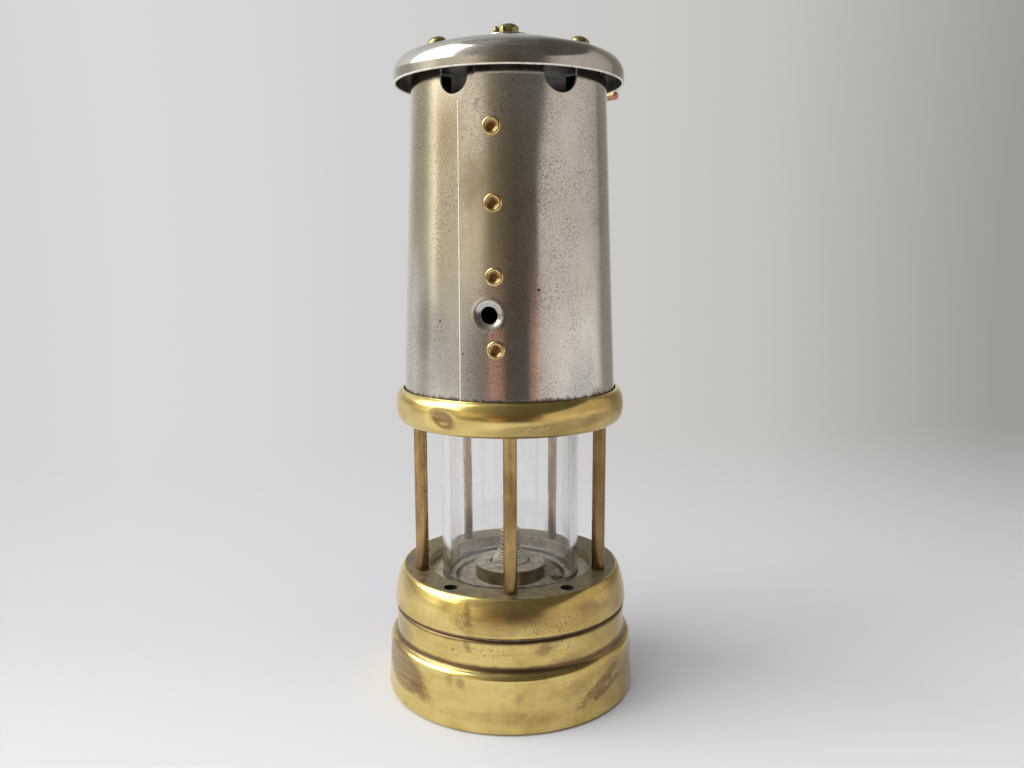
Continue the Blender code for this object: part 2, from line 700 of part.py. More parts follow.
def build_hood_fixings(axis):
    """Three brackets and rivets, over the lands between the bonnet's slots."""
    width, outline = bracket_outline()
    stack = HOOD_SHEET + BRACKET_GAP + BRACKET_STRIP
    face = 0.15 * MM
    head, shank = 2.9 * MM, 1.5 * MM
    dome = [(head * math.sin(math.radians(angle)), face + 1.75 * MM * math.cos(math.radians(angle)))
            for angle in (0, 25, 50, 75, 90)]
    rivet_outline = [
        *dome,
        (shank, face),
        (shank, -stack - 0.2 * MM),
        (2.4 * MM, -stack - 0.2 * MM),
        (2.2 * MM, -stack - 0.9 * MM),
        (0.0, -stack - 0.9 * MM),
    ]
    for index, degrees in enumerate(HOOD_RIVET_ANGLES):
        point, outward = on_hood(degrees, HOOD_RIVET_CIRCLE)
        bracket = plate(f"hood_bracket_{index + 1}", outline, width)
        bracket.rotation_euler = (math.pi / 2, 0.0, math.radians(degrees) - math.pi / 2)
        hole = cylinder(f"bracket_hole_{index + 1}", 1.7 * MM, -4 * MM, 3 * MM)
        cut(bracket, aim(hole, point, outward))
        add_part(bracket, WORN_STEEL, axis)
        rivet = turned(f"hood_rivet_{index + 1}", rivet_outline, SMALL_ROUND)
        add_part(aim(rivet, point, outward), RIVET_BRASS, axis)


# ----------------------------------------------------------- swivel and hook

def build_swivel(bonnet_axis):
    washer_top = POST_FOOT + 1.05 * MM
    add_part(ring("swivel_washer", POST_RADIUS + 0.3 * MM, 7.6 * MM, POST_FOOT, washer_top,
                  MID_ROUND), WORN_STEEL, bonnet_axis)

    axis = add_axis("swivel_axis", (0.0, 0.0, 0.0), (0.0, 0.0, SWIVEL_TURN), bonnet_axis)
    dome_height = 1.9 * MM
    dome = [(POST_RADIUS * math.sin(math.radians(angle)),
             POST_TOP - dome_height * (1 - math.cos(math.radians(angle))))
            for angle in (0, 30, 60, 90)]
    stem_end = 198.4 * MM
    post = turned("swivel_post", [*dome, (POST_RADIUS, POST_FOOT), (STEM_RADIUS, POST_FOOT),
                                  (STEM_RADIUS, stem_end), (0.0, stem_end)], MID_ROUND)
    slot_floor = POST_FOOT + 0.75 * MM
    slot = box("fork_slot", (-FORK_SLOT / 2, -5 * MM, slot_floor),
               (FORK_SLOT / 2, 5 * MM, POST_TOP + 2 * MM))
    pin_hole = cylinder("pin_hole", PIN_RADIUS + 0.15 * MM, -6 * MM, 6 * MM)
    pin_hole.location = (0.0, 0.0, PIN_HEIGHT)
    pin_hole.rotation_euler = (0.0, math.pi / 2, 0.0)
    for tool in (slot, pin_hole):
        tool.parent = axis
        cut(post, tool)
    add_part(post, RIVET_BRASS, axis)

    nut_top = HOOD_APEX - HOOD_SHEET - 0.3 * MM
    nut = cylinder("swivel_nut", 4.4 * MM, nut_top - 3.2 * MM, nut_top, 6)
    bore = cylinder("nut_bore", STEM_RADIUS + 0.2 * MM, 195 * MM, 206 * MM)
    cut(nut, bore)
    add_part(nut, RIVET_BRASS, axis)

    pin_head = 1.35 * MM
    pin = turned("hook_pin", [
        (0.0, 4.7 * MM),
        (0.8 * MM, 4.5 * MM),
        (pin_head, 3.9 * MM),
        (pin_head, 3.35 * MM),
        (PIN_RADIUS, 3.35 * MM),
        (PIN_RADIUS, -3.1 * MM),
        (0.0, -3.1 * MM),
    ], SMALL_ROUND)
    pin.location = (0.0, 0.0, PIN_HEIGHT)
    pin.rotation_euler = (0.0, -math.pi / 2, 0.0)
    add_part(pin, RIVET_BRASS, axis)
    return axis


def hook_route():
    """The rod's centre line in the hook's own plane, +Y away from the pin, with its thickness."""
    across, along = BOW_CENTRE
    left = across - BOW_RADIUS
    flare_radius, flare_turn = 6 * MM, 62
    stem = [(0.0, 1.2 * MM), (0.0, 8 * MM), (0.0, 12.5 * MM), (0.0, 34 * MM), (0.0, 48 * MM),
            (left * 0.35, 60 * MM), (left * 0.85, 72 * MM)]
    bow = arc((across, along), BOW_RADIUS, 180, 0, 12)
    flare_centre = (across + BOW_RADIUS + flare_radius, along)
    flare = arc(flare_centre, flare_radius, 180, 180 + flare_turn, 4)[1:]
    heading = math.radians(180 + flare_turn + 90)
    tip = []
    for reach in (1.4 * MM, 2.4 * MM, 3.0 * MM):
        tip.append((flare[-1][0] + reach * math.cos(heading), flare[-1][1] + reach * math.sin(heading)))
    route = stem + bow + flare + tip
    thickness = [HOOK_ROD] * len(route)
    thickness[0] = thickness[1] = NECK_ROD
    thickness[-2] = HOOK_ROD * 0.8
    thickness[-1] = HOOK_ROD * 0.4
    return route, thickness


def build_hook(swivel_axis):
    axis = add_axis("hook_axis", (0.0, 0.0, PIN_HEIGHT), (HOOK_DROOP, 0.0, 0.0), swivel_axis)
    route, thickness = hook_route()
    curve = bpy.data.curves.new("hook", "CURVE")
    curve.dimensions = "3D"
    curve.bevel_depth = 1.0
    curve.bevel_resolution = 2
    curve.use_fill_caps = True
    spline = curve.splines.new("POLY")
    spline.points.add(len(route) - 1)
    for point, (across, along), radius in zip(spline.points, route, thickness):
        point.co = (across, along, 0.0, 1.0)
        point.radius = radius
    hook = solid_of_curve("hook", curve)
    eye_radius, eye_half_width = 2.0 * MM, 1.1 * MM
    eye = cylinder("hook_eye", eye_radius, -eye_half_width, eye_half_width, MID_ROUND)
    eye_hole = cylinder("hook_eye_hole", PIN_RADIUS + 0.15 * MM, -3 * MM, 3 * MM)
    for tool in (eye, eye_hole):
        tool.rotation_euler = (0.0, math.pi / 2, 0.0)
        tool.parent = axis
    join(hook, eye)
    cut(hook, eye_hole)
    add_part(hook, COPPER_ROD, axis)


def apply_and_shade():
    """Turn every part into a plain mesh, smooth but for its true corners."""
    depsgraph = bpy.context.evaluated_depsgraph_get()
    finished = {}
    for obj in PARTS.objects:
        if obj.type == "MESH":
            finished[obj] = bpy.data.meshes.new_from_object(obj.evaluated_get(depsgraph))
    for obj, mesh in finished.items():
        obj.modifiers.clear()
        obj.data = mesh
        mesh.shade_smooth()
        mesh.set_sharp_from_angle(angle=SHARP_ANGLE)


build_vessel()
build_burner()
build_adjuster()
build_wick()
add_part(ring("vessel_seal", NECK_RADIUS + 0.3 * MM, WAIST_RADIUS - 0.4 * MM,
              SHOULDER + 0.15 * MM, RING_BOTTOM - 0.15 * MM), FIBRE_SEAL)
build_frame_rings()
build_pillars()
build_glass()
build_gauzes()
bonnet_lift = add_axis("bonnet_axis", (0.0, 0.0, 0.0))
build_bonnet(bonnet_lift)
build_seam_rivets(bonnet_lift)
build_hood(bonnet_lift)
build_hood_fixings(bonnet_lift)
swivel = build_swivel(bonnet_lift)
build_hook(swivel)
apply_and_shade()
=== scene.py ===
"""The looks of a miner's flame safety lamp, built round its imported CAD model.

Millimetres, turned into metres where a mesh is made, and +Z up. The origin is under the middle of
the oil vessel, and the lamp's front, where the bonnet's riveted seam is, faces -Y. Angles are in
degrees about Z from the front, towards +X.
"""
import math

import bmesh
import bpy
import numpy as np
from mathutils import Matrix, Vector


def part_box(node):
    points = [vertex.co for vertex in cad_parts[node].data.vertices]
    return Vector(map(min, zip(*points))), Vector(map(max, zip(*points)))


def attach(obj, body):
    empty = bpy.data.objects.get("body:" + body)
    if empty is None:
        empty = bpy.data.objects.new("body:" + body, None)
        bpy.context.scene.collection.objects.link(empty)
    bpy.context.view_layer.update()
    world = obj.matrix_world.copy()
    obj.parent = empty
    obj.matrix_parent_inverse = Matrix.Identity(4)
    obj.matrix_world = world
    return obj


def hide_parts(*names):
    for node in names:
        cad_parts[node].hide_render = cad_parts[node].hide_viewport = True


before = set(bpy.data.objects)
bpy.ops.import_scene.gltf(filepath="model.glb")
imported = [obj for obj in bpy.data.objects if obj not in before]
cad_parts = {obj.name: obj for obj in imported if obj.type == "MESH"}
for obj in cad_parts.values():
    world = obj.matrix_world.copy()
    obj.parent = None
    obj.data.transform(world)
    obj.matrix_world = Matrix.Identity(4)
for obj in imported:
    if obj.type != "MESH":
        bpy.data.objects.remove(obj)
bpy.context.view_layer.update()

MM = 0.001
FINE = 224
SMALL = 64


def low(node):
    """A CAD node's lowest corner."""
    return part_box(node)[0] / MM


def high(node):
    """A CAD node's highest corner, whose x is the outer radius of a node turned about Z."""
    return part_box(node)[1] / MM


# Driving sizes, from the frame
DRUM_RADIUS = high("vessel_body").x
DECK = high("vessel_body").z
RING_RADIUS, RING_TOP = high("base_ring").x, high("base_ring").z
RING_BOTTOM = low("base_ring").z
BAND_RADIUS, BAND_TOP = high("middle_ring").x, high("middle_ring").z
BAND_BOTTOM = low("middle_ring").z
GLASS_RADIUS = high("glass").x
PILLAR_CIRCLE = -(low("pillar_1").y + high("pillar_1").y) / 2
PILLAR_RADIUS = high("pillar_1").x
BONNET_BOTTOM, BONNET_TOP = low("bonnet_shell").z, high("bonnet_shell").z
HOOD_RADIUS, HOOD_APEX, HOOD_RIM = high("hood").x, high("hood").z, low("hood").z
ADJUSTER = (low("adjuster_spindle") + high("adjuster_spindle")) / 2
PIN_HEIGHT = (low("hook_pin").z + high("hook_pin").z) / 2

# Sizes that repeat the CAD's own
DRUM_TOP_RADIUS, DRUM_TOP = 39.4, 16.4
DRUM_FOOT = 1.5
WAIST_RADIUS = 37.3
WAIST_BOTTOM = 20.1
NECK_RADIUS = 33.9
SHOULDER = 28.0
RING_DOME = 3.1
PILLARS = 5
AIR_HOLE_CIRCLE, AIR_HOLE_RADIUS = 30.8, 2.1
AIR_HOLE_ANGLES = (-107, -36, 34, 106, 180)
GLASS_BORE = 19.8
CONE_DATUM = 98.3
CONE_RADIUS = 33.34
CONE_SLOPE = 0.0386
SHEET = 0.7
LAP_GAP = 0.12
SEAM_X = 14.5
SLOTS = ((-32.3, 9.1), (29.5, 11.2), (90, 10.7), (150, 10.7), (-150, 10.7), (-90, 10.7))
SLOT_BOTTOM = 184.6
SEAM_RIVETS = ((-6.7, 113.3), (-7.5, 133.9), (-8.2, 154.3), (-9.0, 175.2))
LOCK_ANGLE, LOCK_HEIGHT, LOCK_RADIUS = -10.7, 123.0, 2.6
CAP_RADIUS = 93.0
HOOD_SHEET = 0.85
HOOD_RIVET_CIRCLE = 24.0
HOOD_RIVET_ANGLES = (60, 180, 300)
SWIVEL_TURN = math.radians(-8)
HOOK_DROOP = math.radians(-5.5)
KNOB_AXIS = Vector((ADJUSTER.x, ADJUSTER.y, 0.0))
STAIN_RADIUS = 38.0

# ------------------------------------------------------------------- finishes


class Value:
    """A node's output. A sum or product of it is a new math node's output."""

    def __init__(self, nodes, socket):
        self.nodes, self.socket = nodes, socket

    def __add__(self, other):
        return self.nodes.math("ADD", self, other)

    def __radd__(self, other):
        return self.nodes.math("ADD", other, self)

    def __sub__(self, other):
        return self.nodes.math("SUBTRACT", self, other)

    def __rsub__(self, other):
        return self.nodes.math("SUBTRACT", other, self)

    def __mul__(self, other):
        return self.nodes.math("MULTIPLY", self, other)


class Nodes:
    """A shader tree whose nodes are added one call at a time."""

    def put(self, socket, value):
        if isinstance(value, Value):
            self.tree.links.new(value.socket, socket)
        elif isinstance(value, tuple) and len(value) == 3 and len(socket.default_value) == 4:
            socket.default_value = (*value, 1.0)
        else:
            socket.default_value = value

    def node(self, kind, inputs, output=0, **settings):
        node = self.tree.nodes.new("ShaderNode" + kind)
        for name, value in settings.items():
            setattr(node, name, value)
        for key, value in inputs.items():
            self.put(node.inputs[key], value)
        return Value(self, node.outputs[output])

    def math(self, operation, first, second=0.0):
        return self.node("Math", {0: first, 1: second}, operation=operation)

    def vector(self, operation, first, second):
        return self.node("VectorMath", {0: first, 1: second}, operation=operation)

    def length(self, vector):
        return self.node("VectorMath", {0: vector}, 1, operation="LENGTH")

    def part(self, vector, letter):
        return self.node("SeparateXYZ", {0: vector}, "XYZ".index(letter))

    def between(self, value, start, end, to_start=0.0, to_end=1.0):
        """A smooth step of a value, from to_start before start to to_end after end."""
        return self.node("MapRange", {"Value": value, "From Min": start, "From Max": end,
                         "To Min": to_start, "To Max": to_end}, interpolation_type="SMOOTHSTEP")

    def mix(self, amount, first, second):
        return self.node("Mix", {0: amount, 6: first, 7: second}, 2, data_type="RGBA")


class Finish(Nodes):
    """A material. Its patterns keep to the object, with noise scales in turns per metre."""

    def __init__(self, name, **constants):
        self.material = bpy.data.materials.new(name)
        self.material.use_nodes = True
        self.tree = self.material.node_tree
        self.shader = self.tree.nodes["Principled BSDF"]
        for socket, value in constants.items():
            self.put(self.shader.inputs[socket.replace("_", " ")], value)
        self.metres = self.node("TexCoord", {}, "Object")
        self.place = self.vector("MULTIPLY", self.metres, (1 / MM, 1 / MM, 1 / MM))

    def noise(self, scale, detail=3.0, stretch=(1.0, 1.0, 1.0), rough=0.55, twist=0.0):
        return self.node("TexNoise", {"Vector": self.vector("MULTIPLY", self.metres, stretch),
                         "Scale": scale, "Detail": detail, "Roughness": rough, "Distortion": twist})

    def cells(self, scale):
        """Distance to the nearest of a scatter of points."""
        return self.node("TexVoronoi", {"Vector": self.metres, "Scale": scale})

    def axis(self, letter):
        return self.part(self.place, letter)

    def radius(self):
        """Distance from the lamp's axis."""
        return self.length(self.vector("MULTIPLY", self.place, (1.0, 1.0, 0.0)))

    def near(self, centre, reach, stretch=(1.0, 1.0, 1.0), ragged=0.0, soft=0.35):
        """1 close to a point and 0 beyond reach, with a ragged edge."""
        offset = self.vector("SUBTRACT", self.place, tuple(centre))
        distance = self.length(self.vector("MULTIPLY", offset, stretch))
        if ragged:
            distance = distance + self.noise(420, 4) * (ragged * reach)
            reach = reach * (1 + ragged * 0.5)
        return self.between(distance, reach * (1 - soft), reach, 1.0, 0.0)

    def line(self, height, width, ragged=0.4):
        """1 at a height and 0 further than about width from it."""
        gap = self.math("ABSOLUTE", self.axis("Z") - height)
        gap = gap + self.noise(260, 4) * (ragged * width)
        return self.between(gap, width * 0.35, width, 1.0, 0.0)

    def stain(self, degrees, height, width, rise, tilt=0.0, soft=0.4, ragged=0.5):
        """1 inside a tilted oval on a turned surface. Width and rise are its half sizes."""
        turn = self.math("ARCTAN2", self.axis("X"), self.axis("Y") * -1.0)
        across = (turn - math.radians(degrees)) * STAIN_RADIUS
        above = self.axis("Z") - height
        lean, level = math.sin(math.radians(tilt)), math.cos(math.radians(tilt))
        along = across * (level / width) + above * (lean / width)
        over = above * (level / rise) - across * (lean / rise)
        size = self.length(self.node("CombineXYZ", {0: along, 1: over}))
        wander = self.noise(210, 6, (1, 1, 2.2), rough=0.75)
        wander = wander + self.noise(1100, 4, (1, 1, 1.8), rough=0.8) * 0.6
        size = size + (wander - 0.8) * (ragged * 2.6)
        return self.between(size, 1 - soft, 1 + soft * 0.3, 1.0, 0.0)

    def upward(self, start, end):
        """1 on faces that look up."""
        return self.between(self.part(self.node("TexCoord", {}, "Normal"), "Z"), start, end)

    def finish(self, colour, roughness, height=None, depth=0.05, strength=1.0):
        self.put(self.shader.inputs["Base Color"], colour)
        self.put(self.shader.inputs["Roughness"], roughness)
        if height is not None:
            bump = {"Height": height, "Distance": depth * MM, "Strength": strength}
            self.put(self.shader.inputs["Normal"], self.node("Bump", bump))
        return self.material


def spot(radius, degrees, height):
    """A place on a turned surface."""
    angle = math.radians(degrees)
    return Vector((radius * math.sin(angle), -radius * math.cos(angle), height))


def brass(name, stains_and_shade=(), joints=(), specks=(), blotch=0.5, pitting=0.5, dusty_radius=None):
    """Turned brass, hand polished over tarnish, with painted shade on its +X side. Each stain ends with
    its depth; a few stains are painted shade.
    """
    look = Finish(name, Metallic=1.0)
    lathe_lines = look.noise(1.0, 4, (16, 16, 3400))
    rubbing = look.noise(1.0, 4, (45, 45, 900), twist=0.4)
    wipes = look.noise(1.0, 4, (700, 700, 40), twist=0.6)
    cloud = look.noise(75, 5, (1, 1, 1.7), twist=0.6)
    mottle = look.noise(150, 6, rough=0.65, twist=0.3)
    colour = look.mix(look.between(cloud, 0.35, 0.72), (0.815, 0.65, 0.245), (0.67, 0.5, 0.16))
    colour = look.mix(look.between(rubbing, 0.48, 0.78, 0.0, 0.38), colour, (0.46, 0.32, 0.1))
    colour = look.mix(look.between(wipes, 0.5, 0.78, 0.0, 0.28), colour, (0.48, 0.34, 0.11))
    # Painted shade: the +X side is darkened and mottled, away from the light.
    right_side_shade = look.between(look.axis("X"), -12, 32, 0.0, 0.52)
    colour = look.mix(right_side_shade * look.between(mottle, 0.3, 0.6, 0.5, 1.0), colour, (0.45, 0.3, 0.095))
    blotches = look.between(cloud * mottle, 0.27, 0.42, 0.0, blotch)
    colour = look.mix(blotches, colour, (0.4, 0.26, 0.12))
    rough = look.between(cloud, 0.3, 0.8, 0.13, 0.2)
    marks = []
    streaky = look.between(look.noise(1.0, 3, (60, 60, 1500)), 0.3, 0.62, 1.0, 0.72)
    for *shape, depth in stains_and_shade:
        mark = look.stain(*shape) * depth * streaky
        colour = look.mix(mark, colour, (0.24, 0.145, 0.08))
        marks.append(mark)
    for height, width in joints:
        mark = look.line(height, width)
        colour = look.mix(mark * 0.9, colour, (0.125, 0.075, 0.045))
        marks.append(mark)
    for mark in marks:
        rough = rough + mark * 0.14
    where = look.between(look.noise(90, 2), 0.52, 0.68, 0.0, pitting)
    for shape in specks:
        where = look.math("MAXIMUM", where, look.stain(*shape))
    fine = look.between(look.noise(2300, 3, rough=0.7), 0.56, 0.66)
    pits = look.math("MAXIMUM", look.between(look.cells(1050), 0.14, 0.24, 1.0, 0.0), fine)
    pits = pits * where
    colour = look.mix(pits * 0.85, colour, (0.15, 0.1, 0.04))
    if dusty_radius:
        edge = look.radius() + look.noise(300, 4) * 1.2
        inside = look.between(edge, dusty_radius, dusty_radius + 1.6, 1.0, 0.0)
        dirt = look.mix(look.noise(500, 5), (0.15, 0.115, 0.055), (0.34, 0.27, 0.15))
        colour = look.mix(inside * 0.93, colour, dirt)
        rough = rough + inside * 0.28
    relief = lathe_lines * 0.5 + rubbing * 0.5
    relief = relief - pits * 2.0
    return look.finish(colour, rough, relief, 0.01)


def plated_steel(name, marks=(), stains_and_shade=(), foot=None, speckle=1.0, painted_warm_reflection=True, tone=1.0):
    """Plated sheet worn to a fine dark speckle, with a painted warm reflection on its -X side. Marks are
    small (centre, reach, stretch) spots.
    """
    look = Finish(name, Metallic=1.0)
    broad = look.noise(38, 4, (1, 1, 0.7), twist=0.5)
    haze = look.noise(110, 5, rough=0.65, twist=0.3)
    grain = look.noise(3600, 2, rough=0.5)
    fleck = look.noise(2150, 1, rough=0.3)
    light = tuple(part * tone for part in (0.735, 0.705, 0.66))
    dull = tuple(part * tone for part in (0.645, 0.615, 0.555))
    silver = look.mix(look.between(broad, 0.35, 0.7), light, dull)
    if painted_warm_reflection:
        # Painted reflection: a warm brassy tint on the -X side, strongest high up.
        warm_reflection = look.between(look.axis("X"), -9, -19) * look.between(look.axis("Z"), 112, 175, 0.35, 1.0)
        silver = look.mix(warm_reflection * 0.62, silver, (0.69, 0.61, 0.43))
    rust = look.near(spot(30.5, -35, 176), 13, (1.6, 1.0, 0.8), 0.9, 0.8)
    silver = look.mix(rust * 0.45, silver, (0.52, 0.34, 0.18))
    density = look.between(look.noise(48, 4, (1, 1, 0.7), twist=0.8), 0.36, 0.62, 0.25, 1.0)
    pits = look.between(fleck, 0.5, 0.64, 0.0, speckle) * density
    colour = look.mix(look.between(haze, 0.42, 0.7, 0.0, 0.22), silver, (0.43, 0.4, 0.34))
    colour = look.mix(look.between(grain, 0.4, 0.7, 0.0, 0.14), colour, (0.42, 0.38, 0.32))
    colour = look.mix(pits * 0.6, colour, (0.225, 0.2, 0.16))
    rough = look.between(broad, 0.3, 0.7, 0.1, 0.145)
    rough = rough + pits * 0.06
    for centre, reach, stretch in marks:
        mark = look.near(centre, reach, stretch, 0.5)
        colour = look.mix(mark, colour, (0.035, 0.03, 0.028))
        rough = rough + mark * 0.3
    for centre, reach, stretch, shade in stains_and_shade:
        mark = look.near(centre, reach, stretch, 0.8, 0.6)
        colour = look.mix(mark * 0.7, colour, shade)
    if foot:
        wander = look.noise(620, 6, (1, 1, 0.7), rough=0.8) * 5.0
        edge = look.between(look.axis("Z") + wander, foot + 2.6, foot + 3.6, 1.0, 0.0)
        colour = look.mix(edge * 0.88, colour, (0.11, 0.085, 0.055))
        rough = rough + edge * 0.3
    relief = grain * 0.3 - pits
    return look.finish(colour, rough, relief, 0.003)


def bare_edge_and_highlight(name):
    """Bare metal along a cut or rubbed edge, painted near white as a highlight line."""
    look = Finish(name, Metallic=0.55)
    nicks = look.noise(600, 3)
    colour = look.mix(look.between(nicks, 0.4, 0.7), (0.93, 0.9, 0.8), (0.72, 0.67, 0.55))
    return look.finish(colour, look.between(nicks, 0.3, 0.8, 0.3, 0.48), nicks, 0.02)


def sooty_metal(name, light=(0.075, 0.068, 0.06), dark=(0.018, 0.017, 0.016)):
    """The inside of the bonnet and hood, dull with soot and oil."""
    look = Finish(name, Metallic=0.75)
    cloud = look.noise(180, 5, (1, 1, 0.5), rough=0.65)
    colour = look.mix(look.between(cloud, 0.35, 0.7), dark, light)
    return look.finish(colour, look.between(cloud, 0.3, 0.7, 0.62, 0.42), cloud, 0.06)


def aged_brass(name, foot=None):
    """Pillars: brown with handling, rubbed brighter along the middle."""
    look = Finish(name, Metallic=1.0)
    streaks = look.noise(1.0, 5, (900, 900, 60), twist=0.5)
    cloud = look.noise(130, 5, (1, 1, 0.4), rough=0.65)
    worn = look.noise(420, 5, (1, 1, 0.5), rough=0.7)
    colour = look.mix(look.between(cloud, 0.35, 0.68), (0.5, 0.345, 0.14), (0.26, 0.155, 0.062))
    colour = look.mix(look.between(streaks, 0.5, 0.72, 0.0, 0.5), colour, (0.18, 0.11, 0.05))
    colour = look.mix(look.between(worn, 0.56, 0.7, 0.0, 0.45), colour, (0.15, 0.095, 0.045))
    # Painted shade: pillars on the +X side are darkened, away from the light.
    shaded = look.between(look.axis("X"), 12, 26, 0.0, 0.65)
    colour = look.mix(shaded, colour, (0.19, 0.115, 0.055))
    if foot:
        dark = look.between(look.axis("Z"), foot, foot + 14, 0.55, 0.0)
        colour = look.mix(dark, colour, (0.13, 0.085, 0.045))
    rough = look.between(cloud, 0.3, 0.7, 0.2, 0.32)
    return look.finish(colour, rough, streaks, 0.008)


def dusty_brass(name, cover=0.95, metal=(0.22, 0.155, 0.075), dust=(0.86, 0.76, 0.6)):
    """Dull brass under dried oil, with dust lying on whatever looks up."""
    look = Finish(name)
    settled = look.noise(330, 6, rough=0.7)
    grit = look.between(look.noise(1900, 2), 0.54, 0.7)
    lines = look.noise(1.0, 3, (30, 30, 2400))
    metal_colour = look.mix(look.between(settled, 0.35, 0.7), metal, tuple(c * 0.55 for c in metal))
    dust_colour = look.mix(look.between(settled, 0.36, 0.68), dust, tuple(c * 0.68 for c in dust))
    dust_colour = look.mix(grit * 0.5, dust_colour, (0.74, 0.7, 0.61))
    lying = look.upward(0.25, 0.85) * look.between(settled, 0.75, 0.3, 0.55, 1.0)
    lying = lying * cover
    colour = look.mix(lying, metal_colour, dust_colour)
    look.put(look.shader.inputs["Metallic"], look.between(lying, 0.0, 0.9, 0.85, 0.0))
    rough = look.between(lying, 0.0, 1.0, 0.36, 0.85)
    relief = settled * 0.8 + (grit + lines * 0.3)
    return look.finish(colour, rough, relief, 0.05)


def rivet_brass(name, bright=(0.78, 0.6, 0.29), dull=(0.43, 0.29, 0.11)):
    look = Finish(name, Metallic=1.0)
    cloud = look.noise(700, 4)
    colour = look.mix(look.between(cloud, 0.38, 0.7), bright, dull)
    colour = look.mix(look.between(look.noise(2600, 2), 0.6, 0.75, 0.0, 0.6), colour,
        (0.16, 0.105, 0.04))
    return look.finish(colour, look.between(cloud, 0.3, 0.7, 0.17, 0.32), cloud, 0.03)


def copper_rod(name):
    look = Finish(name, Metallic=1.0)
    cloud = look.noise(160, 5, rough=0.65)
    drawn = look.noise(1.0, 4, (900, 60, 900))
    colour = look.mix(look.between(cloud, 0.36, 0.66), (0.64, 0.35, 0.21), (0.4, 0.215, 0.12))
    green = look.between(look.noise(260, 5), 0.56, 0.72, 0.0, 0.75)
    tip = look.near((29.5, 88, 196), 14, (1, 1, 1), 0.4, 0.8)
    green = look.math("MAXIMUM", green * 0.5, green * (0.3 + tip))
    eye = look.near((0.0, 0.0, PIN_HEIGHT), 7, (1, 1, 1), 0.3, 0.5)
    green = look.math("MAXIMUM", green, eye)
    colour = look.mix(green, colour, (0.235, 0.225, 0.11))
    rough = look.between(cloud, 0.3, 0.7, 0.3, 0.46)
    relief = drawn + cloud * 0.6
    return look.finish(colour, rough, relief, 0.03)


def wire_steel(name):
    look = Finish(name, Metallic=0.9)
    cloud = look.noise(140, 5, rough=0.65)
    colour = look.mix(look.between(cloud, 0.36, 0.66), (0.11, 0.105, 0.1), (0.2, 0.13, 0.085))
    return look.finish(colour, look.between(cloud, 0.3, 0.7, 0.42, 0.62), look.noise(3000, 2), 0.02)


def fibre_seal(name):
    look = Finish(name)
    fibres = look.noise(1.0, 5, (500, 500, 2500))
    colour = look.mix(look.between(fibres, 0.35, 0.7), (0.11, 0.085, 0.06), (0.23, 0.185, 0.135))
    return look.finish(colour, look.between(fibres, 0.3, 0.7, 0.7, 0.88), fibres, 0.08)


def cotton(name):
    """Wick yarn, charred at its top."""
    look = Finish(name, Sheen_Weight=0.25)
    yarn = look.noise(1.0, 4, (2500, 2500, 900))
    colour = look.mix(look.between(yarn, 0.35, 0.7), (0.66, 0.6, 0.48), (0.45, 0.38, 0.27))
    top = high("wick").z
    char = look.between(look.axis("Z") + yarn * 1.2, top - 4, top - 1)
    colour = look.mix(char, colour, (0.02, 0.018, 0.016))
    return look.finish(colour, look.between(yarn, 0.3, 0.7, 0.82, 0.95), yarn, 0.15)


def old_glass(name):
    """Clear glass with faint waves, and dust dried on in streaks, most along its foot. Towards the ±X
    sides the haze is thickened into a painted beige sheen.
    """
    look = Finish(name, IOR=1.5, Metallic=0.0)
    waves = look.noise(1.0, 3, (160, 160, 12))
    smears = look.noise(1.0, 6, (650, 650, 36), rough=0.65, twist=0.5)
    where = look.noise(1.0, 3, (75, 75, 20))
    foot = look.between(look.axis("Z"), low("glass").z, low("glass").z + 30, 1.0, 0.25)
    haze = look.between(smears, 0.48, 0.74) * look.between(where, 0.4, 0.62)
    haze = haze * foot
    # Painted sheen: the dust haze is thinner in front and thicker towards the ±X sides.
    side = look.math("ABSOLUTE", look.axis("X"), 0.0)
    haze = haze * look.between(side, 13, 20, 0.55, 1.8)
    haze = look.math("MINIMUM", haze, 1.0)
    colour = look.mix(haze, (0.99, 0.992, 0.99), (0.8, 0.74, 0.62))
    clear = 0.995 - haze * 0.26
    look.put(look.shader.inputs["Transmission Weight"], clear)
    return look.finish(colour, haze * 0.02, waves, 0.03)


STEEL_MARKS = (
    (spot(32.1, 15, 130.2), 0.62, (1.0, 1.0, 1.3)),
    (spot(32.4, -39, 121.0), 0.6, (0.8, 1.0, 0.9)),
    (spot(32.5, -36.5, 119.4), 0.5, (0.8, 1.0, 0.9)),
    (spot(32.9, -24, 112.0), 0.35, (1.0, 1.0, 1.0)),
)
STEEL_STAINS_AND_SHADE = (
    # Painted shade: the first stain darkens the lock hole's dish to hold back its bright reflection.
    (spot(32.6, LOCK_ANGLE, LOCK_HEIGHT), 5.4, (1.0, 1.0, 1.0), (0.26, 0.245, 0.225)),
    (spot(31.5, -14, 150), 11, (1.0, 1.0, 0.4), (0.56, 0.52, 0.4)),
    (spot(33.2, 52, 99), 5, (1.0, 1.0, 1.8), (0.3, 0.215, 0.15)),
    (spot(31.0, -19, 160), 6, (1.0, 1.0, 0.45), (0.35, 0.31, 0.23)),
    (spot(33.0, -52, 118), 8, (1.0, 1.0, 0.6), (0.42, 0.39, 0.33)),
)
HOOD_STAINS = (
    (spot(22, 4, 199), 15, (1.0, 1.0, 0.5), (0.35, 0.34, 0.32)),
    (spot(31, 20, 196), 9, (1.6, 1.0, 0.7), (0.33, 0.29, 0.25)),
    (spot(26, -160, 198), 14, (1.0, 1.0, 0.5), (0.38, 0.36, 0.33)),
)
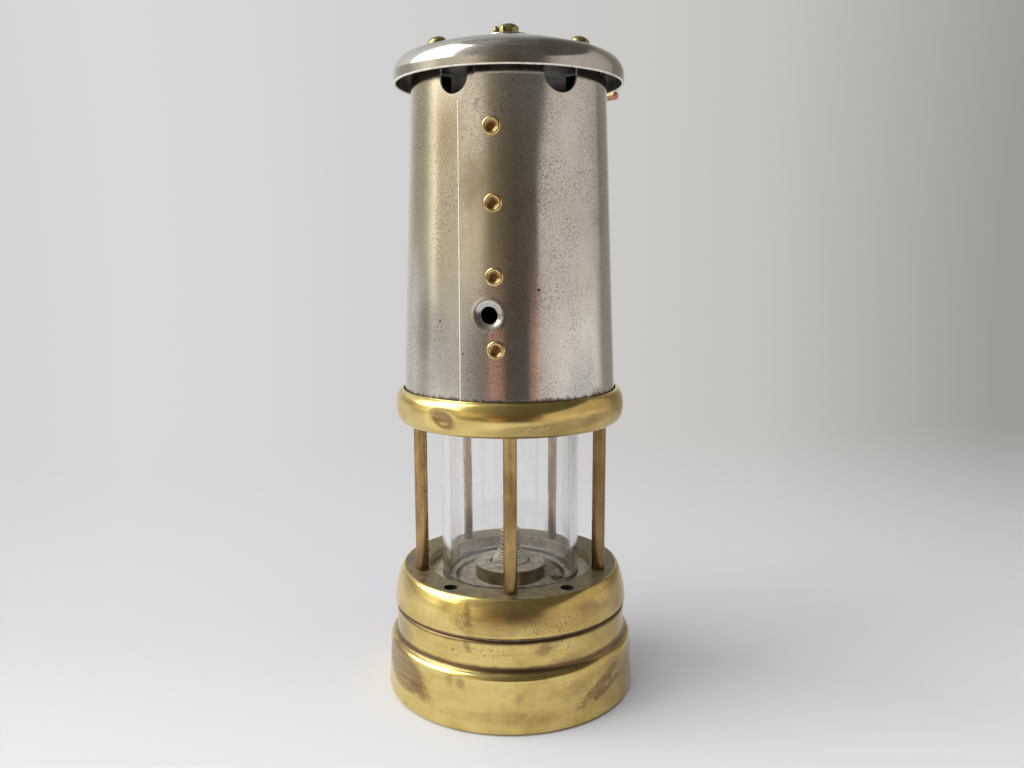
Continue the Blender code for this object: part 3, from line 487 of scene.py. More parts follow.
# Stains: angle, height, half width, half rise, tilt, softness, raggedness, depth
DRUM_STAINS = (
    (-60, 12.6, 14, 6.4, -8, 0.22, 0.22, 0.85),
    (-44, 9.0, 5, 3.0, -20, 0.7, 0.6, 0.55),
    (-22, 14.9, 1.5, 2.0, 12, 0.6, 0.6, 0.6),
    (44, 10.5, 11, 2.2, 26, 0.5, 0.9, 0.8),
    (48, 8.6, 8, 1.2, 18, 0.4, 0.9, 0.9),
    (50, 14.0, 7, 3.0, 30, 0.8, 0.9, 0.6),
    (30, 12.0, 6, 3.0, 20, 0.8, 0.9, 0.45),
    (66, 10.0, 9, 6.0, 0, 0.8, 0.6, 0.55),
    (2, 5.5, 24, 2.6, 0, 0.9, 0.6, 0.3),
    (150, 10.0, 17, 6.0, 8, 0.5, 0.6, 0.75),
    (-140, 9.0, 13, 5.0, -10, 0.5, 0.6, 0.7),
    (-65, 23.5, 9, 5.0, 0, 0.8, 0.4, 0.65),
    (-20, 25.6, 1.2, 2.2, 14, 0.6, 0.8, 0.7),
    (16, 25.4, 4.5, 2.6, 24, 0.6, 0.9, 0.75),
    (30, 21.5, 12, 1.4, 6, 0.8, 0.6, 0.45),
    (120, 24.0, 12, 3.0, 0, 0.8, 0.6, 0.6),
)
DRUM_SPECKS = (
    (-27, 23.6, 3.0, 2.6), (-10, 24.2, 7.0, 3.0),
    (24, 24.4, 6.0, 3.2), (38, 12.0, 7.0, 4.0, 30),
    (4, 21.6, 1.6, 0.9),
)
RING_STAINS_AND_SHADE = (
    (-20, 36.0, 1.5, 4.6, 8, 0.7, 0.9, 0.75),
    (-12, 33.5, 8, 4.5, 0, 0.9, 0.6, 0.4),
    (6, 34.0, 13, 5.5, 0, 0.9, 0.4, 0.35),
    # Painted shade: this broad soft stain darkens the ring's right side, where it reflects less light.
    (34, 33.5, 17, 6.0, 0, 0.9, 0.3, 0.42),
    (42, 35.0, 9, 2.6, -10, 0.8, 0.7, 0.55),
    (66, 35.0, 9, 8.0, 0, 0.8, 0.5, 0.6),
    (-62, 38.0, 7, 4.0, 0, 0.8, 0.6, 0.5),
    (165, 34.0, 15, 5.0, 8, 0.5, 0.6, 0.7),
    (-120, 33.0, 14, 4.0, -8, 0.7, 0.6, 0.55),
)
RING_SPECKS = (
    (-24, 34.0, 3.5, 4.0), (22, 32.5, 14, 3.0),
)
BAND_STAINS_AND_SHADE = (
    # Painted shade: the first stain is a dark oval over the band's dent.
    (-33, 93.0, 5.4, 3.0, -20, 0.38, 0.06, 0.92),
    (20, 90.9, 23, 2.3, 4, 0.35, 0.25, 0.62),
    (44, 92.4, 8, 2.0, 10, 0.7, 0.6, 0.55),
    (-170, 92.0, 17, 3.2, 6, 0.5, 0.6, 0.7),
    (110, 94.0, 12, 3.0, -6, 0.7, 0.6, 0.55),
)
BAND_SPECKS = ((16, 90.8, 12, 1.6),)

FINISHES = {
    "vessel": brass("brass_vessel", DRUM_STAINS, ((WAIST_BOTTOM - 0.7, 2.0),
                                                  (SHOULDER - 0.1, 1.7)), DRUM_SPECKS,
                    pitting=0.5),
    "base_ring": brass("brass_base_ring", RING_STAINS_AND_SHADE, specks=RING_SPECKS, pitting=0.2,
                       dusty_radius=RING_RADIUS - 3.9),
    "band": brass("brass_band", BAND_STAINS_AND_SHADE, specks=BAND_SPECKS, pitting=0.1, blotch=0.2),
    "plain_brass": brass("brass_plain", blotch=0.8),
    "aged_brass": aged_brass("aged_brass", RING_TOP),
    "dusty_brass": dusty_brass("dusty_brass"),
    "dusty_plate": dusty_brass("dusty_plate", 0.42, (0.23, 0.18, 0.085), (0.29, 0.235, 0.14)),
    "dusty_wall": dusty_brass("dusty_wall", 0.95, (0.56, 0.48, 0.35)),
    "rivet": rivet_brass("rivet_brass"),
    # Painted shade: a dark brass for the rivet dimples, and for the wick spindle and its gland, which
    # sit in a hole.
    "rivet_dull": rivet_brass("recess_painted_shade", (0.26, 0.15, 0.06), (0.13, 0.075, 0.03)),
    "rivet_green": rivet_brass("rivet_weathered", (0.43, 0.4, 0.17), (0.29, 0.24, 0.1)),
    "steel": plated_steel("steel_bonnet", STEEL_MARKS, STEEL_STAINS_AND_SHADE, BAND_TOP),
    "hood_steel": plated_steel("steel_hood", stains_and_shade=HOOD_STAINS, speckle=0.55, painted_warm_reflection=False,
                               tone=0.8),
    "edge": bare_edge_and_highlight("steel_edge_highlight"),
    "soot": sooty_metal("sooty_steel"),
    "dull_steel": sooty_metal("dull_steel", (0.25, 0.24, 0.22), (0.12, 0.112, 0.1)),
    "copper": copper_rod("copper_rod"),
    "wire": wire_steel("gauze_wire"),
    "seal": fibre_seal("fibre_seal"),
    "cotton": cotton("wick_cotton"),
    "glass": old_glass("old_glass"),
}

# ------------------------------------------------------------------- mesh tools


def made(name, vertices, faces, *finishes):
    """A mesh object with outward faces."""
    mesh = bpy.data.meshes.new(name)
    mesh.from_pydata((np.array(vertices) * MM).tolist(), [], faces)
    bm = bmesh.new()
    bm.from_mesh(mesh)
    bmesh.ops.recalc_face_normals(bm, faces=bm.faces)
    bm.to_mesh(mesh)
    bm.free()
    obj = bpy.data.objects.new(name, mesh)
    bpy.context.scene.collection.objects.link(obj)
    for finish in finishes:
        mesh.materials.append(FINISHES[finish])
    return obj


def arc(centre, radius, start, end, steps):
    """Points along an arc in the plane of an outline, with angles in degrees from +X."""
    angles = [math.radians(start + (end - start) * step / steps) for step in range(steps + 1)]
    return [(centre[0] + radius * math.cos(a), centre[1] + radius * math.sin(a)) for a in angles]


def rounded(outline, size=0.2, steps=3, corner=28):
    """An outline with a small curve at each corner sharper than corner degrees."""
    points = [Vector(point) for point in outline]
    open_ended = points[0].x < 1e-7
    result = []
    for index, point in enumerate(points):
        before, after = points[index - 1] - point, points[(index + 1) % len(points)] - point
        end = open_ended and index in (0, len(points) - 1)
        if end or min(before.length, after.length) < 1e-5:
            result.append(tuple(point))
            continue
        turn = 180 - math.degrees(before.angle(after))
        if turn < corner:
            result.append(tuple(point))
            continue
        reach = min(size, 0.45 * before.length, 0.45 * after.length)
        start, finish = point + before.normalized() * reach, point + after.normalized() * reach
        for step in range(steps + 1):
            t = step / steps
            result.append(tuple(start * (1 - t) ** 2 + point * 2 * t * (1 - t) + finish * t * t))
    return result


def braced(outline, hold=0.12):
    """An outline with a point near each end of its long straights, so that they shade flat."""
    closed = outline[0][0] > 1e-7
    result = []
    for index, point in enumerate(outline):
        result.append(tuple(point))
        if index == len(outline) - 1 and not closed:
            continue
        start, end = Vector(point), Vector(outline[(index + 1) % len(outline)])
        along = end - start
        if along.length > 6 * hold:
            step = along.normalized() * hold
            result += [tuple(start + step), tuple(end - step)]
    return result


def lathe(name, outline, *finishes, segments=FINE, edge=0.2):
    """Sweep (radius, height) points round Z. An outline that starts on the axis ends on it."""
    outline = braced(rounded(outline, edge) if edge else outline)
    vertices, rows = [], []
    for radius, height in outline:
        if radius < 1e-7:
            rows.append([len(vertices)] * segments)
            vertices.append((0.0, 0.0, height))
            continue
        rows.append(list(range(len(vertices), len(vertices) + segments)))
        for step in range(segments):
            angle = 2 * math.pi * step / segments
            vertices.append((radius * math.cos(angle), radius * math.sin(angle), height))
    closed = outline[0][0] > 1e-7
    faces = []
    for upper, lower in zip(rows, rows[1:] + rows[:1] if closed else rows[1:]):
        for step in range(segments):
            after = (step + 1) % segments
            corners = [upper[step], lower[step], lower[after], upper[after]]
            faces.append(list(dict.fromkeys(corners)))
    return made(name, vertices, faces, *finishes)


def rod(points, radii, sides, reference, closed=False):
    """Vertices and faces of a round rod along points. reference is never along the rod."""
    points = np.asarray(points, float)
    count = len(points)
    radii = np.broadcast_to(np.asarray(radii, float), count)
    if closed:
        along = np.roll(points, -1, 0) - np.roll(points, 1, 0)
    else:
        along = np.gradient(points, axis=0)
    along /= np.linalg.norm(along, axis=1)[:, None]
    across = np.cross(along, np.asarray(reference, float))
    across /= np.linalg.norm(across, axis=1)[:, None]
    other = np.cross(across, along)
    angles = 2 * math.pi * np.arange(sides) / sides
    circle = np.cos(angles)[None, :, None] * across[:, None] + np.sin(angles)[None, :, None] * other[:,
        None]
    vertices = (points[:, None] + radii[:, None, None] * circle).reshape(-1, 3)
    faces = []
    for row in range(count if closed else count - 1):
        start, finish = row * sides, (row + 1) % count * sides
        for side in range(sides):
            after = (side + 1) % sides
            faces.append([start + side, finish + side, finish + after, start + after])
    if not closed:
        faces.append(list(range(sides)))
        faces.append(list(range(count * sides - 1, (count - 1) * sides - 1, -1)))
    return vertices, faces


def bundle(name, rods, *finishes):
    """One object from many rods."""
    vertices, faces, total = [], [], 0
    for points, corners in rods:
        vertices.extend(points.tolist())
        faces.extend([[index + total for index in face] for face in corners])
        total += len(points)
    return made(name, vertices, faces, *finishes)


def carve(obj, tool, operation="DIFFERENCE"):
    """Cut a tool out of a piece, or join it on. Cut faces take the tool's own finish."""
    modifier = obj.modifiers.new("carve", "BOOLEAN")
    modifier.operation = operation
    modifier.solver = "EXACT"
    modifier.object = tool
    if tool.data.materials:
        modifier.material_mode = "TRANSFER"
    evaluated = obj.evaluated_get(bpy.context.evaluated_depsgraph_get())
    mesh = bpy.data.meshes.new_from_object(evaluated)
    obj.modifiers.clear()
    obj.data = mesh
    bpy.data.objects.remove(tool)
    return obj


def joined(name, tools):
    """One object from several that stand apart."""
    bm = bmesh.new()
    for tool in tools:
        bm.from_mesh(tool.data)
    mesh = bpy.data.meshes.new(name)
    bm.to_mesh(mesh)
    bm.free()
    for material in tools[0].data.materials:
        mesh.materials.append(material)
    for tool in tools:
        bpy.data.objects.remove(tool)
    obj = bpy.data.objects.new(name, mesh)
    bpy.context.scene.collection.objects.link(obj)
    return obj


def peg(name, radius, bottom, top, *finishes, segments=SMALL, edge=0.0):
    """A plain round tool or pin about its own Z."""
    outline = [(0.0, top), (radius, top), (radius, bottom), (0.0, bottom)]
    return lathe(name, outline, *finishes, segments=segments, edge=edge)


def block(name, low_corner, high_corner, *finishes):
    (x0, y0, z0), (x1, y1, z1) = low_corner, high_corner
    vertices = [(x, y, z) for x in (x0, x1) for y in (y0, y1) for z in (z0, z1)]
    faces = [(0, 1, 3, 2), (4, 6, 7, 5), (0, 4, 5, 1), (2, 3, 7, 6), (0, 2, 6, 4), (1, 5, 7, 3)]
    return made(name, vertices, faces, *finishes)


def moved(obj, matrix):
    """Put a transform into a piece's mesh."""
    obj.data.transform(matrix)
    return obj


def shift(offset):
    return Matrix.Translation(Vector(offset) * MM)


def shifted(obj, offset):
    return moved(obj, shift(offset))


def aimed(obj, location, direction):
    """Stand a piece's own Z along a direction."""
    turn = direction.to_track_quat("Z", "Y").to_matrix().to_4x4()
    return moved(obj, shift(location) @ turn)


def paint(obj, index, test):
    """Give a finish slot to the faces whose centre and normal pass a test."""
    for face in obj.data.polygons:
        if test(face.center / MM, face.normal):
            face.material_index = index
    return obj


def piece(obj, body, slot, *nodes, sharp=36):
    """Finish a piece: shading, its body, and the CAD nodes it stands for. Its slot is not used."""
    obj.data.shade_smooth()
    obj.data.set_sharp_from_angle(angle=math.radians(sharp))
    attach(obj, body)
    if nodes:
        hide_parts(*nodes)
    return obj


def collar(name, finish, bore, body, slot, node, radius=None, bottom=None, top=None, edge=0.2):
    """A plain turned ring. It takes the sizes it isn't given from its CAD node."""
    radius = high(node).x if radius is None else radius
    bottom = low(node).z if bottom is None else bottom
    top = high(node).z if top is None else top
    outline = [(bore, top), (radius, top), (radius, bottom), (bore, bottom)]
    piece(lathe(name, outline, finish, edge=edge), body, slot, node)


def thread(crest, root, bottom, top, pitch=1.5):
    """Points of a turned thread, from top to bottom."""
    turns = int((top - bottom) / pitch)
    points = []
    for turn in range(turns):
        height = top - turn * pitch
        points += [(root, height), (crest, height - 0.35 * pitch), (crest, height - 0.55 * pitch)]
    return points + [(root, top - turns * pitch)]


# -------------------------------------------------------------------- oil vessel


def build_vessel():
    foot = arc((DRUM_RADIUS - DRUM_FOOT, DRUM_FOOT), DRUM_FOOT, 0, -90, 12)
    brow = arc((DRUM_TOP_RADIUS - 2.2, DRUM_TOP), 2.2, 65, 0, 12)
    reach = SHOULDER - 0.5 - WAIST_BOTTOM
    hollow = [(WAIST_RADIUS - 0.12 * math.sin(math.pi * step / 6),
        WAIST_BOTTOM + reach * (1 - step / 6)) for step in range(1, 7)]
    cove = [(WAIST_RADIUS + 0.06, WAIST_BOTTOM - 0.45), (WAIST_RADIUS + 0.25, WAIST_BOTTOM - 1.0),
        (WAIST_RADIUS + 0.52, WAIST_BOTTOM - 1.45)]
    outline = [(3.1, DECK), (17.2, DECK), (17.2, 34.7), (NECK_RADIUS - 0.9, 34.7),
        *thread(NECK_RADIUS, NECK_RADIUS - 0.8, SHOULDER + 0.6, 34.2), (NECK_RADIUS - 0.8, SHOULDER),
        (WAIST_RADIUS - 0.5, SHOULDER), (WAIST_RADIUS, SHOULDER - 0.5), *hollow, *cove, *brow, *foot,
        (33.2, 0.0), (33.2, 2.0), (31.5, 2.0), (31.5, 3.4), (38.4, 5.4), (37.2, 16.5), (35.4, 20.4),
        (35.4, 24.0), (31.8, 27.5), (31.8, 32.6), (3.1, 32.6)]
    body = lathe("vessel_turned", outline, "vessel", "dusty_brass", edge=0.15)
    paint(body, 1, lambda centre, normal: centre.z > 34.6)
    hole = peg("hole", 1.9, 30, 37)
    carve(body, shifted(hole, KNOB_AXIS))
    piece(body, "vessel", "polished_brass", "vessel_body")

    pocket_top, pocket = high("vessel_bottom").z, 9.5
    plate = [(0.0, 1.8), (33.0, 1.8), (33.0, 0.0), (32.2, 0.0), (31.8, 0.25), (31.2, 0.0), (0.0, 0.0)]
    bottom = lathe("vessel_base_plate", plate, "vessel", "dusty_brass")
    dish = peg("dish", pocket + 1.2, 0.2, pocket_top, edge=0.4)
    carve(bottom, shifted(dish, KNOB_AXIS), "UNION")
    well = peg("well", pocket, -1.0, pocket_top - 1.4, edge=0.8)
    carve(bottom, shifted(well, KNOB_AXIS))
    bore = peg("bore", 1.9, 5, 9)
    carve(bottom, shifted(bore, KNOB_AXIS))
    piece(bottom, "vessel", "polished_brass", "vessel_bottom")


def build_burner():
    base = low("burner_disc").z - 0.15
    collar("burner_plate", "dusty_brass", 6.6, "vessel", "dusty_brass", "burner_disc", bottom=base,
        edge=0.35)

    nozzle_top, bore = high("wick_nozzle").z, 2.95
    outline = [(bore, nozzle_top), (3.4, nozzle_top)]
    for index in range(6):
        height = 44.6 - index * 0.75
        outline += [(3.75 + index * 0.42, height), (3.45 + index * 0.42, height - 0.4)]
    outline += [(6.2, 39.6), (6.2, base), (bore, base)]
    nozzle = lathe("burner_nozzle", outline, "dusty_brass", segments=96, edge=0.12)
    piece(nozzle, "vessel", "dusty_brass", "wick_nozzle")

    bottom, top = low("wick_tube").z, high("wick_tube").z
    beads = []
    for index in range(4):
        middle = top - (index + 0.5) * 1.3
        beads += arc((2.75, middle), 0.6, 75, -75, 6)
    tube = lathe("burner_tube", [(2.2, top), *beads, (2.7, top - 5.3), (2.7, bottom), (2.2, bottom)],
        "dusty_brass", segments=96, edge=0.08)
    piece(tube, "vessel", "dusty_brass", "wick_tube")


def build_wick():
    bottom, top = low("wick").z, high("wick").z
    heights = np.linspace(bottom, top, 120)
    strands = []
    for index in range(7):
        reach = 0.0 if index == 6 else 1.2
        turn = 2 * math.pi * (index / 6) + (heights - bottom) / 14 * 2 * math.pi
        line = np.stack([reach * np.cos(turn), reach * np.sin(turn), heights], 1)
        thick = np.full(len(heights), 0.7)
        thick[-3:] = 0.7 * np.array([0.9, 0.7, 0.35])
        strands.append(rod(line, thick, 12, (1.0, 0.0, 0.0)))
    piece(bundle("wick_yarn", strands, "cotton"), "wick_carrier", "cotton", "wick", sharp=60)


def build_adjuster():
    bottom, top = low("adjuster_spindle").z, high("adjuster_spindle").z
    outline = [(0.0, top), (1.1, top), (1.6, top - 0.6)]
    outline += thread(1.6, 1.35, 14.5, 22, 0.8)
    outline += [(1.6, 13.6), (1.6, bottom), (0.0, bottom)]
    # The spindle takes the dark recess finish, painted shade in its hole.
    spindle = lathe("wick_spindle", outline, "rivet_dull", segments=SMALL, edge=0.1)
    piece(shifted(spindle, KNOB_AXIS), "adjuster", "polished_brass", "adjuster_spindle")

    bottom, top = low("adjuster_knob").z, high("adjuster_knob").z
    radius = high("adjuster_knob").x - ADJUSTER.x
    outline = [(0.0, top), (2.6, top), (3.0, top - 0.5), (radius - 0.8, top - 0.5), (radius, top - 1.1),
        (radius, bottom + 0.7), (radius - 0.7, bottom), (3.2, bottom), (2.8, bottom + 0.4),
        (0.0, bottom + 0.4)]
    knob = lathe("wick_knob", outline, "plain_brass", segments=288, edge=0.15)
    for vertex in knob.data.vertices:
        reach = math.hypot(vertex.co.x, vertex.co.y) / MM
        if reach > radius - 0.3:
            ridge = 0.5 + 0.5 * math.cos(36 * math.atan2(vertex.co.y, vertex.co.x))
            scale = 1 - 0.32 * ridge / reach
            vertex.co.x *= scale
            vertex.co.y *= scale
    piece(shifted(knob, KNOB_AXIS), "adjuster", "polished_brass", "adjuster_knob", sharp=50)


# ------------------------------------------------------------------------- frame


def build_seal():
    collar("neck_seal", "seal", NECK_RADIUS + 0.3, "vessel_seal", "seal", "vessel_seal")


def build_base_ring():
    underside, ledge, opening, lip = 35.1, 36.6, 26.6, 17.9
    foot = RING_BOTTOM + 0.4
    dome = []
    for step in range(25):
        rise = math.cos(math.pi / 2 * step / 24)
        inset = RING_DOME * (1 - (1 - rise ** 1.6) ** (1 / 1.6))
        dome.append((RING_RADIUS - inset, foot + (RING_TOP - foot) * rise))
    bore = NECK_RADIUS + 0.4
    outline = [(opening, RING_TOP), *dome, (RING_RADIUS - 0.5, RING_BOTTOM), (bore, RING_BOTTOM),
        *reversed(thread(bore, bore + 0.6, RING_BOTTOM + 0.4, 34.0)), (bore + 0.6, underside),
        (lip, underside), (lip, ledge), (opening, ledge)]
    ring = lathe("frame_base", outline, "base_ring", "dusty_plate", "dusty_wall", edge=0.15)
    paint(ring, 1, lambda centre, normal: math.hypot(centre.x, centre.y) < 33.0)
    paint(ring, 2, lambda centre, normal: math.hypot(centre.x, centre.y) < opening + 0.1)
    holes = []
    for degrees in AIR_HOLE_ANGLES:
        # Painted shade: the holes' walls take the near-black soot finish.
        hole = peg("air_hole", AIR_HOLE_RADIUS, 33, 42, "soot")
        holes.append(shifted(hole, spot(AIR_HOLE_CIRCLE, degrees, 0.0)))
    carve(ring, joined("air_holes", holes))
    piece(ring, "frame", "polished_brass", "base_ring")


def dent(ring, groove):
    """Press the band in under its first stain, a dark oval of painted shade: a shallow oval, then a dip
    in the oval's middle.
    """
    degrees, height, width, rise, tilt = BAND_STAINS_AND_SHADE[0][:5]
    lean, level = math.sin(math.radians(tilt)), math.cos(math.radians(tilt))
    middle = spot(BAND_RADIUS, degrees, height) * MM
    outward = spot(1.0, degrees, 0.0)
    for vertex in ring.data.vertices:
        place = vertex.co
        across = (math.atan2(place.x, -place.y) - math.radians(degrees)) * BAND_RADIUS
        above = place.z / MM - height
        reach = math.hypot((across * level + above * lean) / width,
            (above * level - across * lean) / rise)
        if reach < 1 and place.xy.length > groove * MM:
            place.xy = place.xy * (1 - 0.5 * MM * (1 - reach * reach) ** 2 / place.xy.length)
        offset = (place - middle) / MM
        if place.xy.length > (BAND_RADIUS - 2.2) * MM and offset.length < 9:
            along = offset.y * outward.x - offset.x * outward.y
            away = (along / 4.0) ** 2 + ((offset.z - 0.12 * along) / 2.3) ** 2
            vertex.co = place - outward * (0.55 * MM * math.exp(-away))


def build_middle_ring():
    floor_top, recess_top = 93.4, 91.9
    groove, recess = 33.75, GLASS_RADIUS + 0.6
    bulge = BAND_RADIUS - groove - 0.2
    half = (BAND_TOP - BAND_BOTTOM) / 2
    band = [(BAND_RADIUS - bulge + bulge * across, BAND_BOTTOM + half * (1 + up))
        for across, up in arc((0.0, 0.0), 1.0, 90, -90, 30)]
    outline = [*band, (recess, BAND_BOTTOM), (recess, recess_top), (16.5, recess_top),
        (16.5, floor_top), (24.6, floor_top), (24.6, 97.6), (26.9, 97.6), (26.9, floor_top),
        (groove, floor_top), (groove, BAND_TOP)]
    ring = lathe("frame_band", outline, "band", "dusty_brass", segments=432, edge=0.12)
    dent(ring, groove)
    paint(ring, 1, lambda centre, normal: centre.xy.length < 32 or normal.z < -0.97)
    piece(ring, "frame", "polished_brass", "middle_ring")


def build_pillars():
    foot, head = RING_TOP, BAND_BOTTOM
    for index in range(PILLARS):
        outline = [(0.0, head + 1.5), (1.3, head + 1.5), (1.3, head + 0.1),
            (PILLAR_RADIUS, head + 0.02), (PILLAR_RADIUS, foot - 0.02), (1.3, foot - 0.1), (1.3, 35.0),
            (0.0, 34.95)]
        pillar = lathe(f"frame_pillar_{index + 1}", outline, "aged_brass", segments=48, edge=0.12)
        seat = spot(PILLAR_CIRCLE, index * 360 / PILLARS, 0.0)
        piece(shifted(pillar, seat), "frame", "aged_brass", f"pillar_{index + 1}")


def build_glass():
    bottom, top, bore = low("glass").z, high("glass").z, GLASS_BORE
    glass = lathe("glass_cylinder", [(bore, top), (GLASS_RADIUS, top), (GLASS_RADIUS, bottom),
        (bore, bottom)], "glass", edge=0.5, segments=288)
    piece(glass, "frame", "clear_glass", "glass", sharp=50)
    for name, node in (("glass_washer_lower", "lower_gasket"), ("glass_washer_upper", "upper_gasket")):
        collar(name, "seal", bore + 0.4, "frame", "seal", node, GLASS_RADIUS + 0.1, low(node).z - 0.1,
            high(node).z + 0.1)


def wire_cloth(name, node, foot_radius, top_radius):
    """A thimble of woven wire."""
    pitch, wire, wave = 1.3, 0.15, 0.12
    foot, top = low(node).z, high(node).z - 0.25
    rings = int((top - foot) / pitch)
    uprights = 2 * round(math.pi * foot_radius / pitch)
    steps = np.arange(2 * rings + 1)
    heights = foot + wire + steps * pitch / 2
    radius = foot_radius + (top_radius - foot_radius) * (heights - foot) / (top - foot)
    rods = []
    for index in range(uprights):
        turn = 2 * math.pi * index / uprights
        lift = wave * np.cos(math.pi * (steps / 2 + index))
        reach = radius + lift
        line = np.stack([reach * math.cos(turn), reach * math.sin(turn), heights], 1)
        rods.append(rod(line, wire, 4, (math.sin(turn), -math.cos(turn), 0.0)))
    around = np.arange(2 * uprights)
    turns = math.pi * around / uprights
    for index in range(rings + 1):
        reach = radius[2 * index] - wave * np.cos(math.pi * (around / 2 + index))
        line = np.stack([reach * np.cos(turns), reach * np.sin(turns),
            np.full(len(turns), heights[2 * index])], 1)
        rods.append(rod(line, wire, 4, (0.0, 0.0, 1.0), closed=True))
    lines = int(top_radius / pitch)
    for index in range(-lines, lines + 1):
        offset = index * pitch
        half = math.sqrt(top_radius ** 2 - offset ** 2)
        reach = np.arange(-int(2 * half / pitch), int(2 * half / pitch) + 1)
        lift = wave * np.cos(math.pi * (reach / 2 + index))
        flat, still = reach * pitch / 2, np.full(len(reach), offset)
        if len(reach) > 2:
            rods.append(rod(np.stack([flat, still, heights[-1] + lift], 1), wire, 4, (0, 1, 0)))
            rods.append(rod(np.stack([still, flat, heights[-1] - lift], 1), wire, 4, (1, 0, 0)))
    piece(bundle(name, rods, "wire"), "frame", "dark_steel", node, sharp=60)


def build_gauzes():
    wire_cloth("gauze_outer", "outer_gauze", 20.0, 17.5)
    wire_cloth("gauze_inner", "inner_gauze", 17.2, 14.5)
    floor_top = low("gauze_ring").z - 0.2
    for name, node, bore in (("gauze_foot_ring", "gauze_ring", 17.7),
                             ("gauze_clamp", "gauze_clamp_ring", 20.6)):
        collar(name, "plain_brass", bore, "frame", "polished_brass", node, bottom=floor_top, edge=0.3)


# ------------------------------------------------------------------------ bonnet


def cone_radius(height):
    """The bonnet's outer radius at a height."""
    return CONE_RADIUS - CONE_SLOPE * (height - CONE_DATUM)


def lap_start(height):
    """Millimetres of arc from the slot's middle to the outer lap's free edge, near its top."""
    return np.interp(height, (182.6, 184.05, 184.9, 186.0, 187.6, 189.9, 199.0),
        (2.42, 4.45, 5.05, 5.42, 5.7, 5.85, 5.85))


def sheet_point(turn, height, depth):
    """A point of the rolled sheet. turn is in degrees right of the seam, depth under its face."""
    radius = cone_radius(height)
    blend = np.clip((turn - 339) / 17, 0, 1)
    inset = (SHEET + LAP_GAP) * blend * blend * (3 - 2 * blend)
    seam = -np.degrees(np.arcsin(SEAM_X / radius))
    slot_middle = -30.0
    cut_back = slot_middle + np.degrees(lap_start(height) / radius) - seam
    cut_back = np.where(height >= 182.6, np.maximum(cut_back, 0.0), 0.0)
    settle = 16.0
    turn = np.where(turn < settle, cut_back + turn * (settle - cut_back) / settle, turn)
    angle = np.radians(seam + turn)
    beside = radius * (angle - math.radians(LOCK_ANGLE))
    beside = (beside + math.pi * radius) % (2 * math.pi * radius) - math.pi * radius
    away = np.hypot(beside, height - LOCK_HEIGHT)
    press = np.clip((4.3 - away) / 2.0, 0, 1)
    inset = inset + 0.75 * press * press * (3 - 2 * press)
    lip = np.exp(-((away - 4.5) / 0.45) ** 2)
    inset = inset - 0.07 * lip
    reach = radius - inset - depth
    x, y, z = np.broadcast_arrays(reach * np.sin(angle), -reach * np.cos(angle), height)
    return np.stack([x, y, z], -1)


